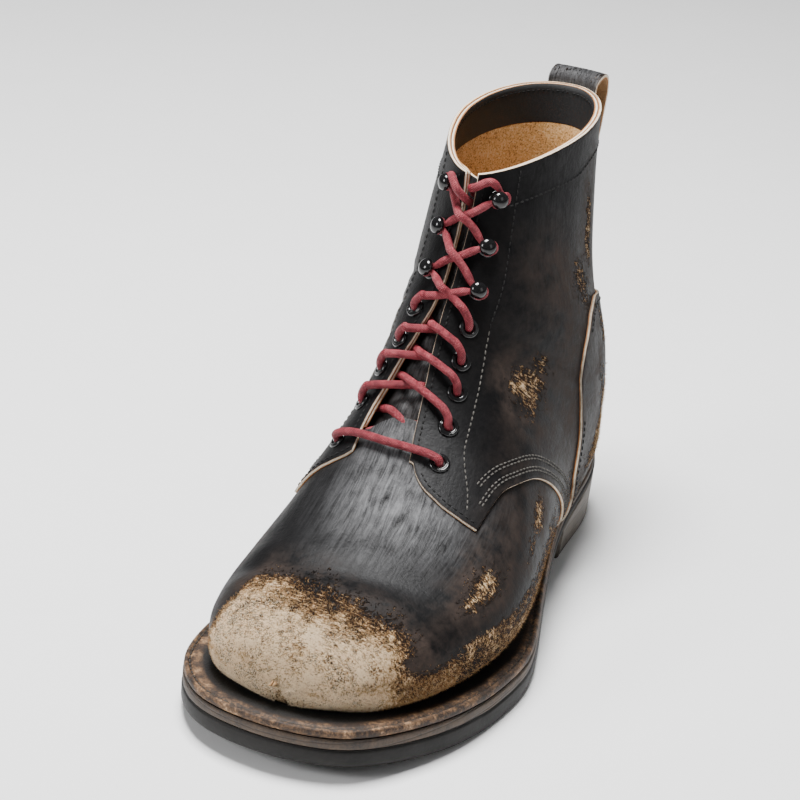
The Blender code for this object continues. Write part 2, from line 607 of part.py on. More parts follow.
def build_counter(look):
    """The heel counter: a second layer over the back of the quarters, from their own surface."""
    share, front, top = (np.array(c) for c in zip(*COUNTER_EDGE))
    split = (COUNTER_SEAM - front[0]) / (top[0] - front[0])
    steps = np.concatenate([np.linspace(0.0, split - 0.06, 6), np.linspace(split, 1.0, 6)])
    low = np.where(steps < split - 1e-6, COUNTER_LOW, 0.0)
    lanes = np.sin(np.linspace(0.0, math.pi / 2, 14))
    v = COUNTER_TOP + (low[:, None] - COUNTER_TOP) * lanes[None, :]
    u = np.interp(v, share, front) + steps[:, None] * (np.interp(v, share, top)
                                                       - np.interp(v, share, front))
    clear = COUNTER_GAP + COUNTER_HEEL_ROOM * (1.0 - v / COUNTER_TOP)
    grids = []
    for side in (1.0, -1.0):
        for out in (clear + COUNTER_WALL, clear):
            grids.append(offset(u, side * (1.0 - v), out))
    never = np.zeros(len(steps), bool)
    halves("heel_counter", grids, never, steps >= split - 1e-6, look)


def build_tongue(look):
    """A cupped strip under the throat, with room for the laces over its middle."""
    u = np.array([5.7, 6.1, 6.5, 6.9, 7.4, 8.0, 8.7, 9.5, 10.5, 11.5, 12.5, 13.5, 14.5, 15.5,
                  16.5, 17.5, 18.6])
    share = np.linspace(-1.0, 1.0, 11)
    half = np.interp(u, (u[0], 7.0, LAST_SECTION), (TONGUE_HALF - 6.0, TONGUE_HALF, TONGUE_HALF_TOP))
    distance = half[:, None] * share[None, :]
    s = np.where(distance < 0.0, across(u[:, None], np.abs(distance), -1.0),
                 across(u[:, None], np.abs(distance), 1.0))
    rise = np.clip((u - 6.0) / 1.2, 0.0, 1.0)[:, None]
    cup = np.clip((1.0 - np.abs(share)) / 0.25, 0.0, 1.0)[None, :]
    depth = TONGUE_SNUG + (TONGUE_LACE_ROOM - TONGUE_SNUG) * rise * cup
    outer = offset(u[:, None], s, -depth)
    inner = offset(u[:, None], s, -depth - TONGUE_WALL)
    add("tongue", *sheet(outer, inner), look)


def build_pull_loop(look):
    """A strap folded double behind the shaft: up its back, over in a low loop and down again."""
    u, out, rise = (np.array(c)[:, None] for c in zip(*LOOP_PATH))
    x = np.linspace(-LOOP_HALF_WIDTH, LOOP_HALF_WIDTH, 7)[None, :]
    side = np.where(x < 0.0, -1.0, 1.0)
    wide = np.where(x < 0.0, SECTION["inn"](u), SECTION["out"](u))
    v = np.arcsin((np.abs(x) / wide) ** (SIDE_LOW_POWER / 2.0)) / math.pi
    turn = math.radians(ANKLE_TURN_DEG)
    back = np.array([-math.sin(turn), math.cos(turn), 0.0])
    middle = leather(u, side * (1.0 - v))
    centre = middle[:, 3:4]
    flat = centre + (x[..., None] - x[0, 3]) * np.array([math.cos(turn), math.sin(turn), 0.0])
    follow = np.clip(1.0 - (out - LOOP_FREE_FROM) / LOOP_FREE_OVER, LOOP_LEAST_BOW, 1.0)[..., None]
    middle = flat + (middle - flat) * follow + out[..., None] * back
    middle[..., 2] += rise
    along = np.gradient(middle[:, 3], axis=0)
    ahead, up = along @ back, along[:, 2]
    face = (up[:, None] * back - ahead[:, None] * np.array([0.0, 0.0, 1.0]))
    face *= LOOP_THICK / 2 / np.linalg.norm(face, axis=1, keepdims=True)
    add("pull_loop", *sheet(middle + face[:, None], middle - face[:, None]), look)


# ---- lacing --------------------------------------------------------------------------------------
def spot(u, distance, height):
    """A point this far from the top line (+ lateral, - medial) and this high off the leather."""
    side = -1.0 if distance < 0.0 else 1.0
    s = across(u, abs(distance), side)
    return offset(u, s, height)


def build_fittings(look):
    eyelet = ((EYELET_HOLE, 0.0), (EYELET_OUTER, 0.0), (EYELET_OUTER - 1.0, EYELET_RISE),
              (EYELET_HOLE, EYELET_RISE))
    arc = np.linspace(-1.06, math.pi / 2, 5)
    ball = [(HOOK_BALL_R * math.cos(a), HOOK_BALL_AT + HOOK_BALL_R * math.sin(a)) for a in arc]
    ball[-1] = (0.0, HOOK_BALL_AT + HOOK_BALL_R)
    hook = [(0.0, 0.0), (HOOK_BASE_R, 0.0), (HOOK_BASE_R - 0.6, HOOK_BASE_RISE),
            (HOOK_NECK_R, HOOK_BASE_RISE)] + ball
    for kind, *places in LACING:
        for side, word, u, half in ((1.0, "lateral", *places[:2]), (-1.0, "medial", *places[2:])):
            s = across(u, half, side)
            profile = eyelet if kind.startswith("eyelet") else hook
            axis = normal(u, s)
            lathe(f"{kind}_{word}", profile, offset(u, s, FITTING_LIFT), axis, look, FITTING_SIDES)


def smooth(points, steps=3):
    """The path through the points, rounded: a cubic with free ends, by equal parameter steps."""
    points = np.asarray(points, float)
    t = np.linspace(0.0, len(points) - 1.0, steps * (len(points) - 1) + 1)
    return np.column_stack([cubic(points[:, k])(t) for k in range(points.shape[1])])


def eased(points, rounds=1):
    """The path with its corners cut, which never swings past its own points."""
    points = np.asarray(points, float)
    for _ in range(rounds):
        a, b = points[:-1], points[1:]
        cut = np.stack([0.75 * a + 0.25 * b, 0.25 * a + 0.75 * b], 1).reshape(-1, 3)
        points = np.concatenate([points[:1], cut, points[-1:]])
    return points


def strand(low, high, side, over):
    """One crossing strand from its fitting on this side to the next one up on the other."""
    kind, kind1 = low[0], high[0]
    (u0, half0), (u1, half1) = (low[1:3], high[3:]) if side > 0 else (low[3:], high[1:3])
    gap = float(np.interp((u0 + u1) / 2, *zip(*THROAT)))
    opened = kind1.startswith("eyelet")
    stop = max(gap - END_BEFORE_EDGE, 1.2)
    if kind == "eyelet_1":
        stop -= 1.0
        rows = [(stop, END_DEPTH), (0.0, INSIDE_OVER if over else INSIDE_UNDER), (-stop, END_DEPTH)]
        path = [spot(u0 + (u1 - u0) * (half0 - d) / (half0 + half1), side * d, h) for d, h in rows]
        return tube(eased(path), LACE_R, LACE_SIDES)
    if kind.startswith("eyelet"):
        rows = [(half0 - 1.0, OVER_EYELET), (half0 - 5.0, OVER_EYELET)]
    else:
        rows = [(half0 - WRAP_R - 0.3, OVER_HOOK_BASE), (half0 - OFF_HOOK, OVER_LEATHER + 0.25)]
    if opened:
        rows += [(gap + 2.0, OVER_LEATHER), (gap - 0.8, OVER_LEATHER - 0.5)]
        rows.append((0.0, CROSS_OVER if over else CROSS_UNDER))
        rows.append((-stop, END_DEPTH))
    else:
        rows.append((0.0, CROSS_OVER_CLOSED if over else OVER_LEATHER))
        rows += [(OFF_HOOK - half1, OVER_LEATHER + 0.25), (WRAP_R + 0.3 - half1, OVER_HOOK_BASE)]
    path = []
    for distance, height in rows:
        share = (half0 - distance) / (half0 + half1)
        path.append(spot(u0 + (u1 - u0) * share, side * distance, height))
    return tube(eased(path), LACE_R, LACE_SIDES)


def build_laces(look):
    u, half, u_far, half_far = LACING[0][1:]
    span = half + half_far
    rows = [(1.0, OVER_EYELET), (4.5, OVER_EYELET), (9.0, OVER_LEATHER + 0.3),
            (span / 2, OVER_LEATHER + 0.2)]
    rows += [(span - d, h) for d, h in rows[-2::-1]]
    bar = [spot(u + (u_far - u) * d / span - BAR_SAG * math.sin(math.pi * d / span), half - d, h)
           for d, h in rows]
    add("lace_bar", *tube(eased(bar), LACE_R, LACE_SIDES), look)
    for rung, (low, high) in enumerate(zip(LACING[:-1], LACING[1:]), start=1):
        first = add(f"lace_cross_{rung}", *strand(low, high, 1.0, True), look)
        second = add(f"lace_cross_{rung}_under", *strand(low, high, -1.0, False), look)
        second.hide_render = True
        second.display_type = "WIRE"
        join = first.modifiers.new("join", "BOOLEAN")
        join.operation = "UNION"
        join.solver = "EXACT"
        join.object = second
    build_lace_ends(look)


def cord(name, path, radius, look):
    """A loose cord as a bevelled curve with filled caps."""
    path = (np.asarray(path) - (MIDDLE_X, MIDDLE_Y, 0.0)) * MM
    curve = bpy.data.curves.new(name, "CURVE")
    curve.dimensions = "3D"
    curve.bevel_depth = radius * MM
    curve.bevel_resolution = 2
    curve.use_fill_caps = True
    line = curve.splines.new("POLY")
    line.points.add(len(path) - 1)
    for point, place in zip(line.points, path):
        point.co = (*place, 1.0)
    curve.materials.append(look)
    made = bpy.data.objects.new(name, curve)
    bpy.context.scene.collection.objects.link(made)
    return made


def build_lace_ends(look):
    """Each end turns round its top hook, crosses to the throat and tucks in behind the facing."""
    lines = np.linspace(14.0, LAST_SECTION, 101)
    run = leather(lines, np.zeros_like(lines))
    below = np.concatenate([[0.0], np.cumsum(np.linalg.norm(np.diff(run, axis=0), axis=1))])
    below = below[-1] - below
    for word, side, tail, place in (("lateral", 1.0, LATERAL_END, LACING[-1][1:3]),
                                    ("medial", -1.0, MEDIAL_END, LACING[-1][3:])):
        drop, half = float(np.interp(place[0], lines, below)), place[1]
        turn = np.radians((-20.0, 20.0, 60.0, 100.0, 140.0, 175.0))
        rows = [(drop + WRAP_R * math.cos(a), half + WRAP_R * math.sin(a), OVER_HOOK_BASE)
                for a in turn]
        path = [spot(float(np.interp(-t, -below, lines)), side * d, h)
                for t, d, h in rows + list(tail)]
        cord(f"lace_end_{word}", smooth(path, 2), LACE_R, look)


def main():
    for old in list(bpy.data.objects):
        bpy.data.objects.remove(old, do_unlink=True)
    looks = {
        "leather": material("black_leather", (0.03, 0.03, 0.035), 0.0, 0.45),
        "outsole": material("dark_rubber", (0.05, 0.047, 0.045), 0.0, 0.7),
        "midsole": material("brown_midsole", (0.16, 0.11, 0.08), 0.0, 0.8),
        "welt": material("brown_welt", (0.2, 0.14, 0.1), 0.0, 0.75),
        "insole": material("insole_leather", (0.42, 0.27, 0.15), 0.0, 0.8),
        "heel": material("grey_rubber", (0.13, 0.12, 0.1), 0.0, 0.75),
        "lace": material("red_lace", (0.42, 0.05, 0.07), 0.0, 0.8),
        "metal": material("black_metal", (0.03, 0.03, 0.03), 0.9, 0.3),
    }
    build_sole(looks)
    build_upper(looks["leather"])
    build_counter(looks["leather"])
    build_tongue(looks["leather"])
    build_pull_loop(looks["leather"])
    build_fittings(looks["metal"])
    build_laces(looks["lace"])


main()
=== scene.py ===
"""Looks of a worn lace-up riding boot for the left foot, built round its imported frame.

The forms are worked out in millimetres on the boot's own axes: x out to the lateral side, y back
to the heel, z up.  The leather is a fan of sections: u counts them from the toe tip (0) to the
collar (19), and s runs across each one, 0 on the top line, +1 and -1 at the lateral and medial
feather edge, or at the back seam behind the heel.
"""
import math

import bpy
import mathutils
import numpy as np
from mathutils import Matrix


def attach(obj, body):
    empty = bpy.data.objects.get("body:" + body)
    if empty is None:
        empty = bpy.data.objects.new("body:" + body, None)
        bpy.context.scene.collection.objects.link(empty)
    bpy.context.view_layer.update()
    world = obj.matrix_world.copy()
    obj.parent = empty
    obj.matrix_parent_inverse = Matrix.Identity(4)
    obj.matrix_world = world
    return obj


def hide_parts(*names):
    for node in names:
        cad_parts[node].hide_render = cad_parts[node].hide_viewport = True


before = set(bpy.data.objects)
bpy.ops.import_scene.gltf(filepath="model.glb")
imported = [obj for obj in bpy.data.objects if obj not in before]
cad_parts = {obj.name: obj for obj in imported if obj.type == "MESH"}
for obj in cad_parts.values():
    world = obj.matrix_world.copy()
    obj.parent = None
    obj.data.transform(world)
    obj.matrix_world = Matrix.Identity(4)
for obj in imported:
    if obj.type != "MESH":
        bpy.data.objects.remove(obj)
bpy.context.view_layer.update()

MM = 0.001
MIDDLE = np.array([5.0, -1.75, 0.0])   # the middle of the whole box, which is the origin
GAP = 0.3                              # left between two layers of the sole
PI = math.pi

# ---- the leather's sections, from toe tip to collar ----------------------------------------------
SECTION_COLUMNS = ("top_y", "top_z", "bot_y", "bot_z", "foot_out", "foot_in", "out", "inn",
                   "side", "ridge", "power_out", "power_in")
SECTIONS = (
    (-141.0, 32.0, -141.0, 32.0, 0.0, 0.0, 0.0, 0.0, 0.50, -4.0, 2.00, 2.00),  # toe tip
    (-138.0, 45.0, -137.5, 24.0, 0.0, 0.0, 20.5, 22.0, 0.46, -4.0, 2.00, 2.00),  # toe front
    (-129.0, 54.0, -129.0, 22.5, 23.0, 26.5, 34.0, 36.0, 0.42, -4.0, 2.10, 2.10),  # toe
    (-115.0, 59.0, -115.0, 21.0, 36.0, 37.5, 46.0, 44.5, 0.38, -4.5, 2.10, 2.10),  # over the toes
    (-96.0, 62.5, -96.0, 19.5, 45.0, 41.5, 54.5, 49.0, 0.35, -4.5, 2.10, 2.10),  # toe break
    (-73.5, 69.5, -72.0, 18.0, 51.0, 43.5, 61.0, 51.0, 0.32, -4.5, 2.00, 2.00),  # fore ball
    (-50.5, 81.0, -47.0, 17.0, 53.0, 42.5, 63.5, 50.0, 0.30, -4.5, 1.90, 1.95),  # ball
    (-30.5, 95.0, -20.0, 17.0, 50.0, 37.0, 61.0, 46.5, 0.29, -4.5, 1.85, 1.95),  # vamp
    (-16.5, 107.5, 14.0, 18.5, 43.0, 31.0, 55.0, 42.0, 0.30, -3.5, 1.80, 2.00),  # waist
    (-8.0, 117.5, 50.0, 22.5, 37.0, 29.0, 49.0, 39.0, 0.32, -2.5, 1.80, 2.15),  # instep
    (-1.5, 126.0, 87.0, 28.0, 33.0, 29.5, 44.5, 38.0, 0.33, -1.5, 1.80, 2.30),  # rear instep
    (4.0, 133.5, 118.0, 32.0, 25.5, 24.0, 42.5, 37.5, 0.37, -1.0, 1.80, 2.40),  # heel seat
    (9.0, 140.0, 136.5, 35.0, 0.0, 0.0, 42.5, 37.0, 0.46, -0.5, 1.80, 2.30),  # heel point
    (13.5, 146.0, 142.0, 55.0, 0.0, 0.0, 41.5, 37.0, 0.50, 0.0, 1.80, 2.10),  # heel bulge
    (17.5, 152.0, 141.0, 78.0, 0.0, 0.0, 39.0, 36.5, 0.52, 0.0, 1.80, 1.95),  # heel back
    (21.5, 158.5, 136.0, 101.5, 0.0, 0.0, 35.0, 36.0, 0.53, 0.0, 1.80, 1.85),  # counter top
    (25.0, 165.5, 132.0, 126.0, 0.0, 0.0, 31.5, 35.5, 0.52, 0.0, 1.75, 1.75),  # ankle
    (27.5, 173.0, 131.0, 152.0, 0.0, 0.0, 29.0, 34.5, 0.50, 0.0, 1.70, 1.70),  # shaft
    (29.5, 181.0, 131.0, 177.0, 0.0, 0.0, 26.5, 33.5, 0.46, 0.0, 1.65, 1.65),  # top band
    (30.5, 189.0, 131.5, 202.0, 0.0, 0.0, 25.0, 32.5, 0.42, 0.0, 1.60, 1.60),  # collar
)
COLLAR = float(len(SECTIONS) - 1)
TOE_SECTION = 1.0          # the sections up to this one wrap round the toe
HEEL_SECTION = 12.0        # the sections from this one on wrap round the heel and the shaft
SIDE_LOW_POWER = 2.1       # power of the arcs below each side's widest line
ANKLE_TURN_DEG = -4.0      # the shaft's whole turn, which grows between the two heights below
TURN_FROM_Z = 60.0
TURN_TO_Z = 200.0
TURN_CENTRE_Y = 75.0

# ---- the sole's stations, from toe to heel -------------------------------------------------------
SOLE_COLUMNS = ("y", "out", "inn", "under", "outsole", "midsole", "welt")
SOLE = (
    (-152.5, 0.0, 0.0, 7.6, 7.5, 4.4, 3.6),        # toe end
    (-148.5, 23.0, 25.0, 7.1, 7.5, 4.4, 3.6),
    (-138.0, 38.5, 41.5, 5.8, 7.7, 4.5, 3.7),
    (-120.0, 51.0, 53.0, 3.4, 8.2, 4.7, 3.8),
    (-95.0, 62.0, 58.0, 1.1, 8.6, 4.8, 3.9),       # front of the ball
    (-64.0, 68.0, 58.0, 0.0, 8.5, 4.7, 3.9),       # ball
    (-36.0, 67.0, 52.5, 0.3, 7.8, 4.3, 3.7),
    (0.0, 57.0, 41.5, 3.0, 6.2, 3.7, 3.5),         # waist
    (40.0, 46.0, 35.5, 9.5, 4.2, 3.3, 3.2),
    (75.0, 40.0, 36.0, 16.0, 3.6, 3.2, 3.0),       # breast
    (110.0, 38.0, 37.0, 22.0, 3.2, 3.0, 2.8),      # heel
    (138.0, 26.5, 26.5, 25.6, 3.1, 2.9, 2.8),
    (149.0, 0.0, 0.0, 26.6, 3.1, 2.9, 2.8),        # heel end
)
BALL_Y = -64.0
FLAT_HALF = 14.0           # the tread is flat this far before and behind the ball
BREAST_Y = 69.0
BREAST_HOLLOW = 3.0        # how far the heel's breast curves in
HEEL_HALF_WIDTH = 38.0
HEEL_LENGTH = 74.0         # from the line that the heel shrinks towards to its back
FEATHER_HALF_WIDTH = 45.0

# ---- layers of the leather, as heights off the sections ------------------------------------------
QUARTER_LIFT = 0.8
QUARTER_UNDER = -0.9
VAMP_LIFT = -0.5
VAMP_TUCKED = -1.1
VAMP_THICK = 1.5
LINING_LIFT = -0.95
LINING_UNDER = -2.45
COUNTER_LIFT = 2.5
COUNTER_UNDER = 0.85

# Half widths of the open throat from the top line: section, lateral, medial.
THROAT = ((6.0, 13.2, 13.2), (6.54, 12.6, 13.2), (6.96, 10.6, 13.8), (7.44, 8.9, 13.4),
          (7.89, 7.4, 12.2), (9.0, 4.8, 9.2), (10.1, 3.1, 6.4), (11.5, 2.1, 3.4), (13.3, 1.9, 2.6),
          (15.8, 2.1, 2.6), (19.0, 2.6, 3.0))
# Front edge of each quarter, from the throat's corner round the tip and over the arch: s, u.
FRONT_TIP = 6              # the row at the tip, where the edge has its corner
FRONT_OUT = ((0.075, 6.54), (0.088, 6.36), (0.113, 6.19), (0.141, 6.11), (0.166, 6.06),
             (0.206, 6.05), (0.244, 6.08), (0.251, 6.48), (0.267, 7.04), (0.308, 7.69),
             (0.373, 8.43), (0.433, 8.77), (0.504, 8.97), (0.607, 9.06), (1.0, 9.1))
FRONT_IN = ((0.086, 6.61), (0.100, 6.52), (0.123, 6.44), (0.178, 6.38), (0.248, 6.37),
            (0.290, 6.34), (0.330, 6.33), (0.350, 6.75), (0.372, 7.25), (0.405, 7.89),
            (0.450, 8.50), (0.505, 8.85), (0.560, 8.97), (0.640, 9.05), (1.0, 9.1))
# Back edge of the vamp, which shows only in the throat: s, u.
VAMP_BACK = ((-1.0, 10.0), (-0.5, 9.9), (-0.4, 9.6), (-0.3, 8.3), (-0.2, 7.3), (-0.088, 7.01),
             (-0.031, 7.21), (0.016, 7.34), (0.056, 7.36), (0.12, 7.25), (0.2, 7.5), (0.3, 8.6),
             (0.4, 9.6), (0.5, 9.9), (1.0, 10.0))

# Lacing points up the throat: name, then section and distance from the top line, lateral, medial.
EYELETS = 5                # the first rows are eyelets, the rest are hooks
LACING = (("eyelet_1", 6.75, 23.8, 6.90, 23.2), ("eyelet_2", 7.55, 21.0, 7.85, 20.5),
          ("eyelet_3", 8.55, 18.2, 8.85, 17.8), ("eyelet_4", 9.60, 14.6, 9.85, 13.2),
          ("eyelet_5", 11.05, 12.6, 11.30, 10.9), ("hook_1", 13.00, 11.2, 13.50, 9.6),
          ("hook_2", 15.40, 10.2, 15.95, 9.4), ("hook_3", 17.75, 9.8, 18.15, 9.6))


# ---- curves --------------------------------------------------------------------------------------
def cubic(values, flat_start=False, flat_end=False):
    """Cubic through equally spaced values with free or level ends; returns f(position)."""
    v = np.asarray(values, float)
    n = len(v)
    a = np.zeros((n, n))
    b = np.zeros(n)
    for i in range(1, n - 1):
        a[i, i - 1:i + 2] = (1.0, 4.0, 1.0)
        b[i] = 6.0 * (v[i + 1] - 2.0 * v[i] + v[i - 1])
    a[0, 0] = 2.0 if flat_start else 1.0
    a[0, 1] = 1.0 if flat_start else 0.0
    b[0] = 6.0 * (v[1] - v[0]) if flat_start else 0.0
    a[-1, -1] = 2.0 if flat_end else 1.0
    a[-1, -2] = 1.0 if flat_end else 0.0
    b[-1] = 6.0 * (v[-2] - v[-1]) if flat_end else 0.0
    m = np.linalg.solve(a, b)

    def value(t):
        t = np.asarray(t, float)
        i = np.clip(t.astype(int), 0, n - 2)
        s = t - i
        bend = s * (1.0 - s) / 6.0 * ((2.0 - s) * m[i] + (1.0 + s) * m[i + 1])
        return v[i] * (1.0 - s) + v[i + 1] * s - bend
    return value


def column(rows, names, name):
    """One named column of a table."""
    return [row[names.index(name)] for row in rows]


def through(x, xs, ys):
    """Smooth curve through a table that never swings past its own values (monotone cubic)."""
    xs, ys = np.asarray(xs, float), np.asarray(ys, float)
    h, step = np.diff(xs), np.diff(ys) / np.diff(xs)
    slope = np.zeros_like(ys)
    same = step[:-1] * step[1:] > 0
    left, right = 2.0 * h[1:] + h[:-1], h[1:] + 2.0 * h[:-1]
    with np.errstate(divide="ignore", invalid="ignore"):
        mean = (left + right) / (left / step[:-1] + right / step[1:])
    slope[1:-1] = np.where(same, mean, 0.0)
    slope[0], slope[-1] = step[0], step[-1]
    x = np.clip(np.asarray(x, float), xs[0], xs[-1])
    i = np.clip(np.searchsorted(xs, x, "right") - 1, 0, len(xs) - 2)
    t = (x - xs[i]) / h[i]
    low = ys[i] * (1 + 2 * t) * (1 - t) ** 2 + slope[i] * h[i] * t * (1 - t) ** 2
    return low + ys[i + 1] * t * t * (3 - 2 * t) + slope[i + 1] * h[i] * t * t * (t - 1)


def ease(x, start, end):
    """0 before start, 1 after end, with a smooth step between."""
    t = np.clip((np.asarray(x, float) - start) / (end - start), 0.0, 1.0)
    return t * t * (3.0 - 2.0 * t)


# Each column as a curve.  Widths start and end freely, because they come out of a point there.
WIDTHS = ("foot_out", "foot_in", "out", "inn")
SECTION = {name: cubic(column(SECTIONS, SECTION_COLUMNS, name), name not in WIDTHS)
           for name in SECTION_COLUMNS}
WALL_Z = cubic(column(SECTIONS, SECTION_COLUMNS, "bot_z")[int(HEEL_SECTION):])
STATION = {name: cubic(column(SOLE, SOLE_COLUMNS, name), name not in WIDTHS, name not in WIDTHS)
           for name in SOLE_COLUMNS}
STATION_U = np.linspace(0.0, len(SOLE) - 1.0, 481)
STATION_Y = STATION["y"](STATION_U)


def along_sole(name, y):
    """A column of the sole's stations at y, by the station that lies at this y."""
    return STATION[name](np.interp(y, STATION_Y, STATION_U))


def underside(y):
    """Height of the tread: flat for a short way about the ball, rising to toe and waist."""
    low = along_sole("under", y)
    away = np.clip(np.abs(np.asarray(y, float) - BALL_Y) / FLAT_HALF - 1.0, 0.0, 1.0)
    return np.clip(low, 0.0, None) * away * away * (3.0 - 2.0 * away)


def level(name, y):
    """Heights of the sole's layers at y, each clear of the one below by the gap."""
    z = underside(y)
    for part in ("outsole", "midsole", "welt"):
        if name == part + "_under":
            return z
        z = z + along_sole(part, y)
        if name == part + "_top":
            return z
        z = z + GAP
    return z


# ---- the leather's surface -----------------------------------------------------------------------
def turned(points):
    """The shaft's small turn about an upright line through the ankle."""
    x, y, z = points[..., 0], points[..., 1] - TURN_CENTRE_Y, points[..., 2]
    share = np.clip((z - TURN_FROM_Z) / (TURN_TO_Z - TURN_FROM_Z), 0.0, 1.0)
    a = math.radians(ANKLE_TURN_DEG) * share
    return np.stack([x * np.cos(a) - y * np.sin(a),
                     x * np.sin(a) + y * np.cos(a) + TURN_CENTRE_Y, z], -1)


def section_ends(u):
    """Top and bottom point (y, z) of section u."""
    u = np.asarray(u, float)
    top = np.stack([SECTION["top_y"](u), SECTION["top_z"](u)], -1)
    bottom_y = SECTION["bot_y"](u)
    on_sole = level("seat", bottom_y)
    share = np.clip(u / TOE_SECTION, 0.0, 1.0)
    rise = level("seat", SECTION["bot_y"](TOE_SECTION)) - SECTION["bot_z"](TOE_SECTION)
    toe_z = SECTION["bot_z"](u) + rise * share
    back = WALL_Z(np.clip(u - HEEL_SECTION, 0.0, None))
    fade = np.clip(1.0 - (u - HEEL_SECTION), 0.0, 1.0)
    back = back + (level("seat", SECTION["bot_y"](HEEL_SECTION)) - WALL_Z(0.0)) * fade
    bottom_z = np.where(u < TOE_SECTION, toe_z, np.where(u > HEEL_SECTION, back, on_sole))
    return top, np.stack([bottom_y, bottom_z], -1)


def leather(u, s):
    """Points of the leather: two quarter arcs a side, which meet upright at the widest line."""
    u, s = np.broadcast_arrays(np.asarray(u, float), np.asarray(s, float))
    side = np.where(s < 0.0, -1.0, 1.0)
    v = 1.0 - np.abs(s)
    top, bottom = section_ends(u)
    height = np.linalg.norm(top - bottom, axis=-1) + 1e-9
    way = (top - bottom) / height[..., None]
    wide = np.where(side > 0, SECTION["out"](u), SECTION["inn"](u))
    foot = np.where(side > 0, SECTION["foot_out"](u), SECTION["foot_in"](u))
    foot = np.where((u > HEEL_SECTION) | (u < TOE_SECTION), 0.0, np.clip(foot, 0.0, None))
    mid = SECTION["side"](u) * height
    ridge = side * SECTION["ridge"](u)
    power = np.where(side > 0, SECTION["power_out"](u), SECTION["power_in"](u))
    low = np.clip(v / 0.5, 0.0, 1.0) * PI / 2
    high = np.clip(v / 0.5 - 1.0, 0.0, 1.0) * PI / 2
    low_sin = np.sin(low) ** (2.0 / SIDE_LOW_POWER)
    low_cos = np.clip(np.cos(low), 0.0, 1.0) ** (2.0 / SIDE_LOW_POWER)
    high_sin = np.sin(high) ** (2.0 / power)
    high_cos = np.clip(np.cos(high), 0.0, 1.0) ** (2.0 / power)
    lower = v <= 0.5
    x = np.where(lower, foot + (wide - foot) * low_sin, ridge + (wide - ridge) * high_cos)
    h = np.where(lower, mid * (1.0 - low_cos), mid + (height - mid) * high_sin)
    return turned(np.stack([side * x, bottom[..., 0] + way[..., 0] * h,
                            bottom[..., 1] + way[..., 1] * h], -1))


def across(u, distance, side):
    """s of the point of section u at this distance from the top line."""
    u = np.asarray(u, float)
    wide = np.where(side > 0, SECTION["out"](u), SECTION["inn"](u))
    power = np.where(side > 0, SECTION["power_out"](u), SECTION["power_in"](u))
    reach = wide - side * SECTION["ridge"](u)
    share = np.clip(np.asarray(distance, float) / reach, 0.0, 1.0) ** (power / 2.0)
    return side * (0.5 - np.arccos(share) / PI)


def normal(u, s):
    """Outward unit normal of the leather, from short steps along and across it."""
    u, s = np.broadcast_arrays(np.asarray(u, float), np.asarray(s, float))
    du, ds = 0.02, 0.012
    u = np.clip(u, 0.03, COLLAR)
    ua, ub = np.clip(u - du, 0.0, None), np.clip(u + du, None, COLLAR)
    sa, sb = s - ds, s + ds
    wraps = (u > HEEL_SECTION) | (u < TOE_SECTION)
    over = np.where(wraps, np.where(sb > 1.0, sb - 2.0, sb), np.clip(sb, None, 1.0))
    under = np.where(wraps, np.where(sa < -1.0, sa + 2.0, sa), np.clip(sa, -1.0, None))
    n = np.cross(leather(ub, s) - leather(ua, s), leather(u, over) - leather(u, under))
    size = np.linalg.norm(n, axis=-1, keepdims=True)
    return -n / np.maximum(size, 1e-9)


def offset(u, s, distance):
    """Points this far off the leather, along its normals."""
    return leather(u, s) + normal(u, s) * np.asarray(distance, float)[..., None]


def throat_edge(u, side):
    """|s| of the facing's edge on this side of the throat."""
    us, out, inn = (np.array(c) for c in zip(*THROAT))
    half = through(u, us, out if side > 0 else inn)
    return np.abs(across(u, half, side))


def front_edge(s, side):
    """Section of a quarter's front edge at |s|: two smooth runs that meet at its tip."""
    table = np.array(FRONT_OUT if side > 0 else FRONT_IN)
    before = through(s, table[:FRONT_TIP + 1, 0], table[:FRONT_TIP + 1, 1])
    after = through(s, table[FRONT_TIP:, 0], table[FRONT_TIP:, 1])
    return np.where(s <= table[FRONT_TIP, 0], before, after)


def vamp_back(s):
    """Section of the vamp's back edge at s."""
    return through(s, *zip(*VAMP_BACK))


# ---- meshes --------------------------------------------------------------------------------------
def run_of(line):
    """Distance along a line of points, from its first point to each."""
    return np.concatenate([[0.0], np.cumsum(np.linalg.norm(np.diff(line, axis=0), axis=1))])


def grid_quads(rows, columns):
    """Corner indexes of the quads of a rows by columns grid of points."""
    i, j = np.mgrid[:rows - 1, :columns - 1]
    a = (i * columns + j).reshape(-1)
    return np.stack([a, a + 1, a + columns + 1, a + columns], -1)


def shape(points, quads, look=0, uv=None, marks=None):
    """A part of a piece: points in mm, quads of indexes, uv in metres, marks at each point.

    look is one number for all its faces or one for each.
    """
    points = np.asarray(points, float).reshape(-1, 3)
    uv = np.zeros((len(points), 2)) if uv is None else np.asarray(uv, float).reshape(-1, 2)
    looks = np.broadcast_to(np.asarray(look, int), (len(quads),))
    marks = {name: np.asarray(value, float).reshape(-1) for name, value in (marks or {}).items()}
    return {"points": points, "quads": np.asarray(quads, int), "looks": looks, "uv": uv,
            "marks": marks}


def joined(parts):
    """Several shapes as one, their points one after another."""
    start = np.cumsum([0] + [len(p["points"]) for p in parts[:-1]])
    names = sorted({name for p in parts for name in p["marks"]})
    marks = {name: np.concatenate([p["marks"].get(name, np.zeros(len(p["points"])))
                                   for p in parts]) for name in names}
    return {"points": np.concatenate([p["points"] for p in parts]),
            "quads": np.concatenate([p["quads"] + s for p, s in zip(parts, start)]),
            "looks": np.concatenate([p["looks"] for p in parts]),
            "uv": np.concatenate([p["uv"] for p in parts]), "marks": marks}


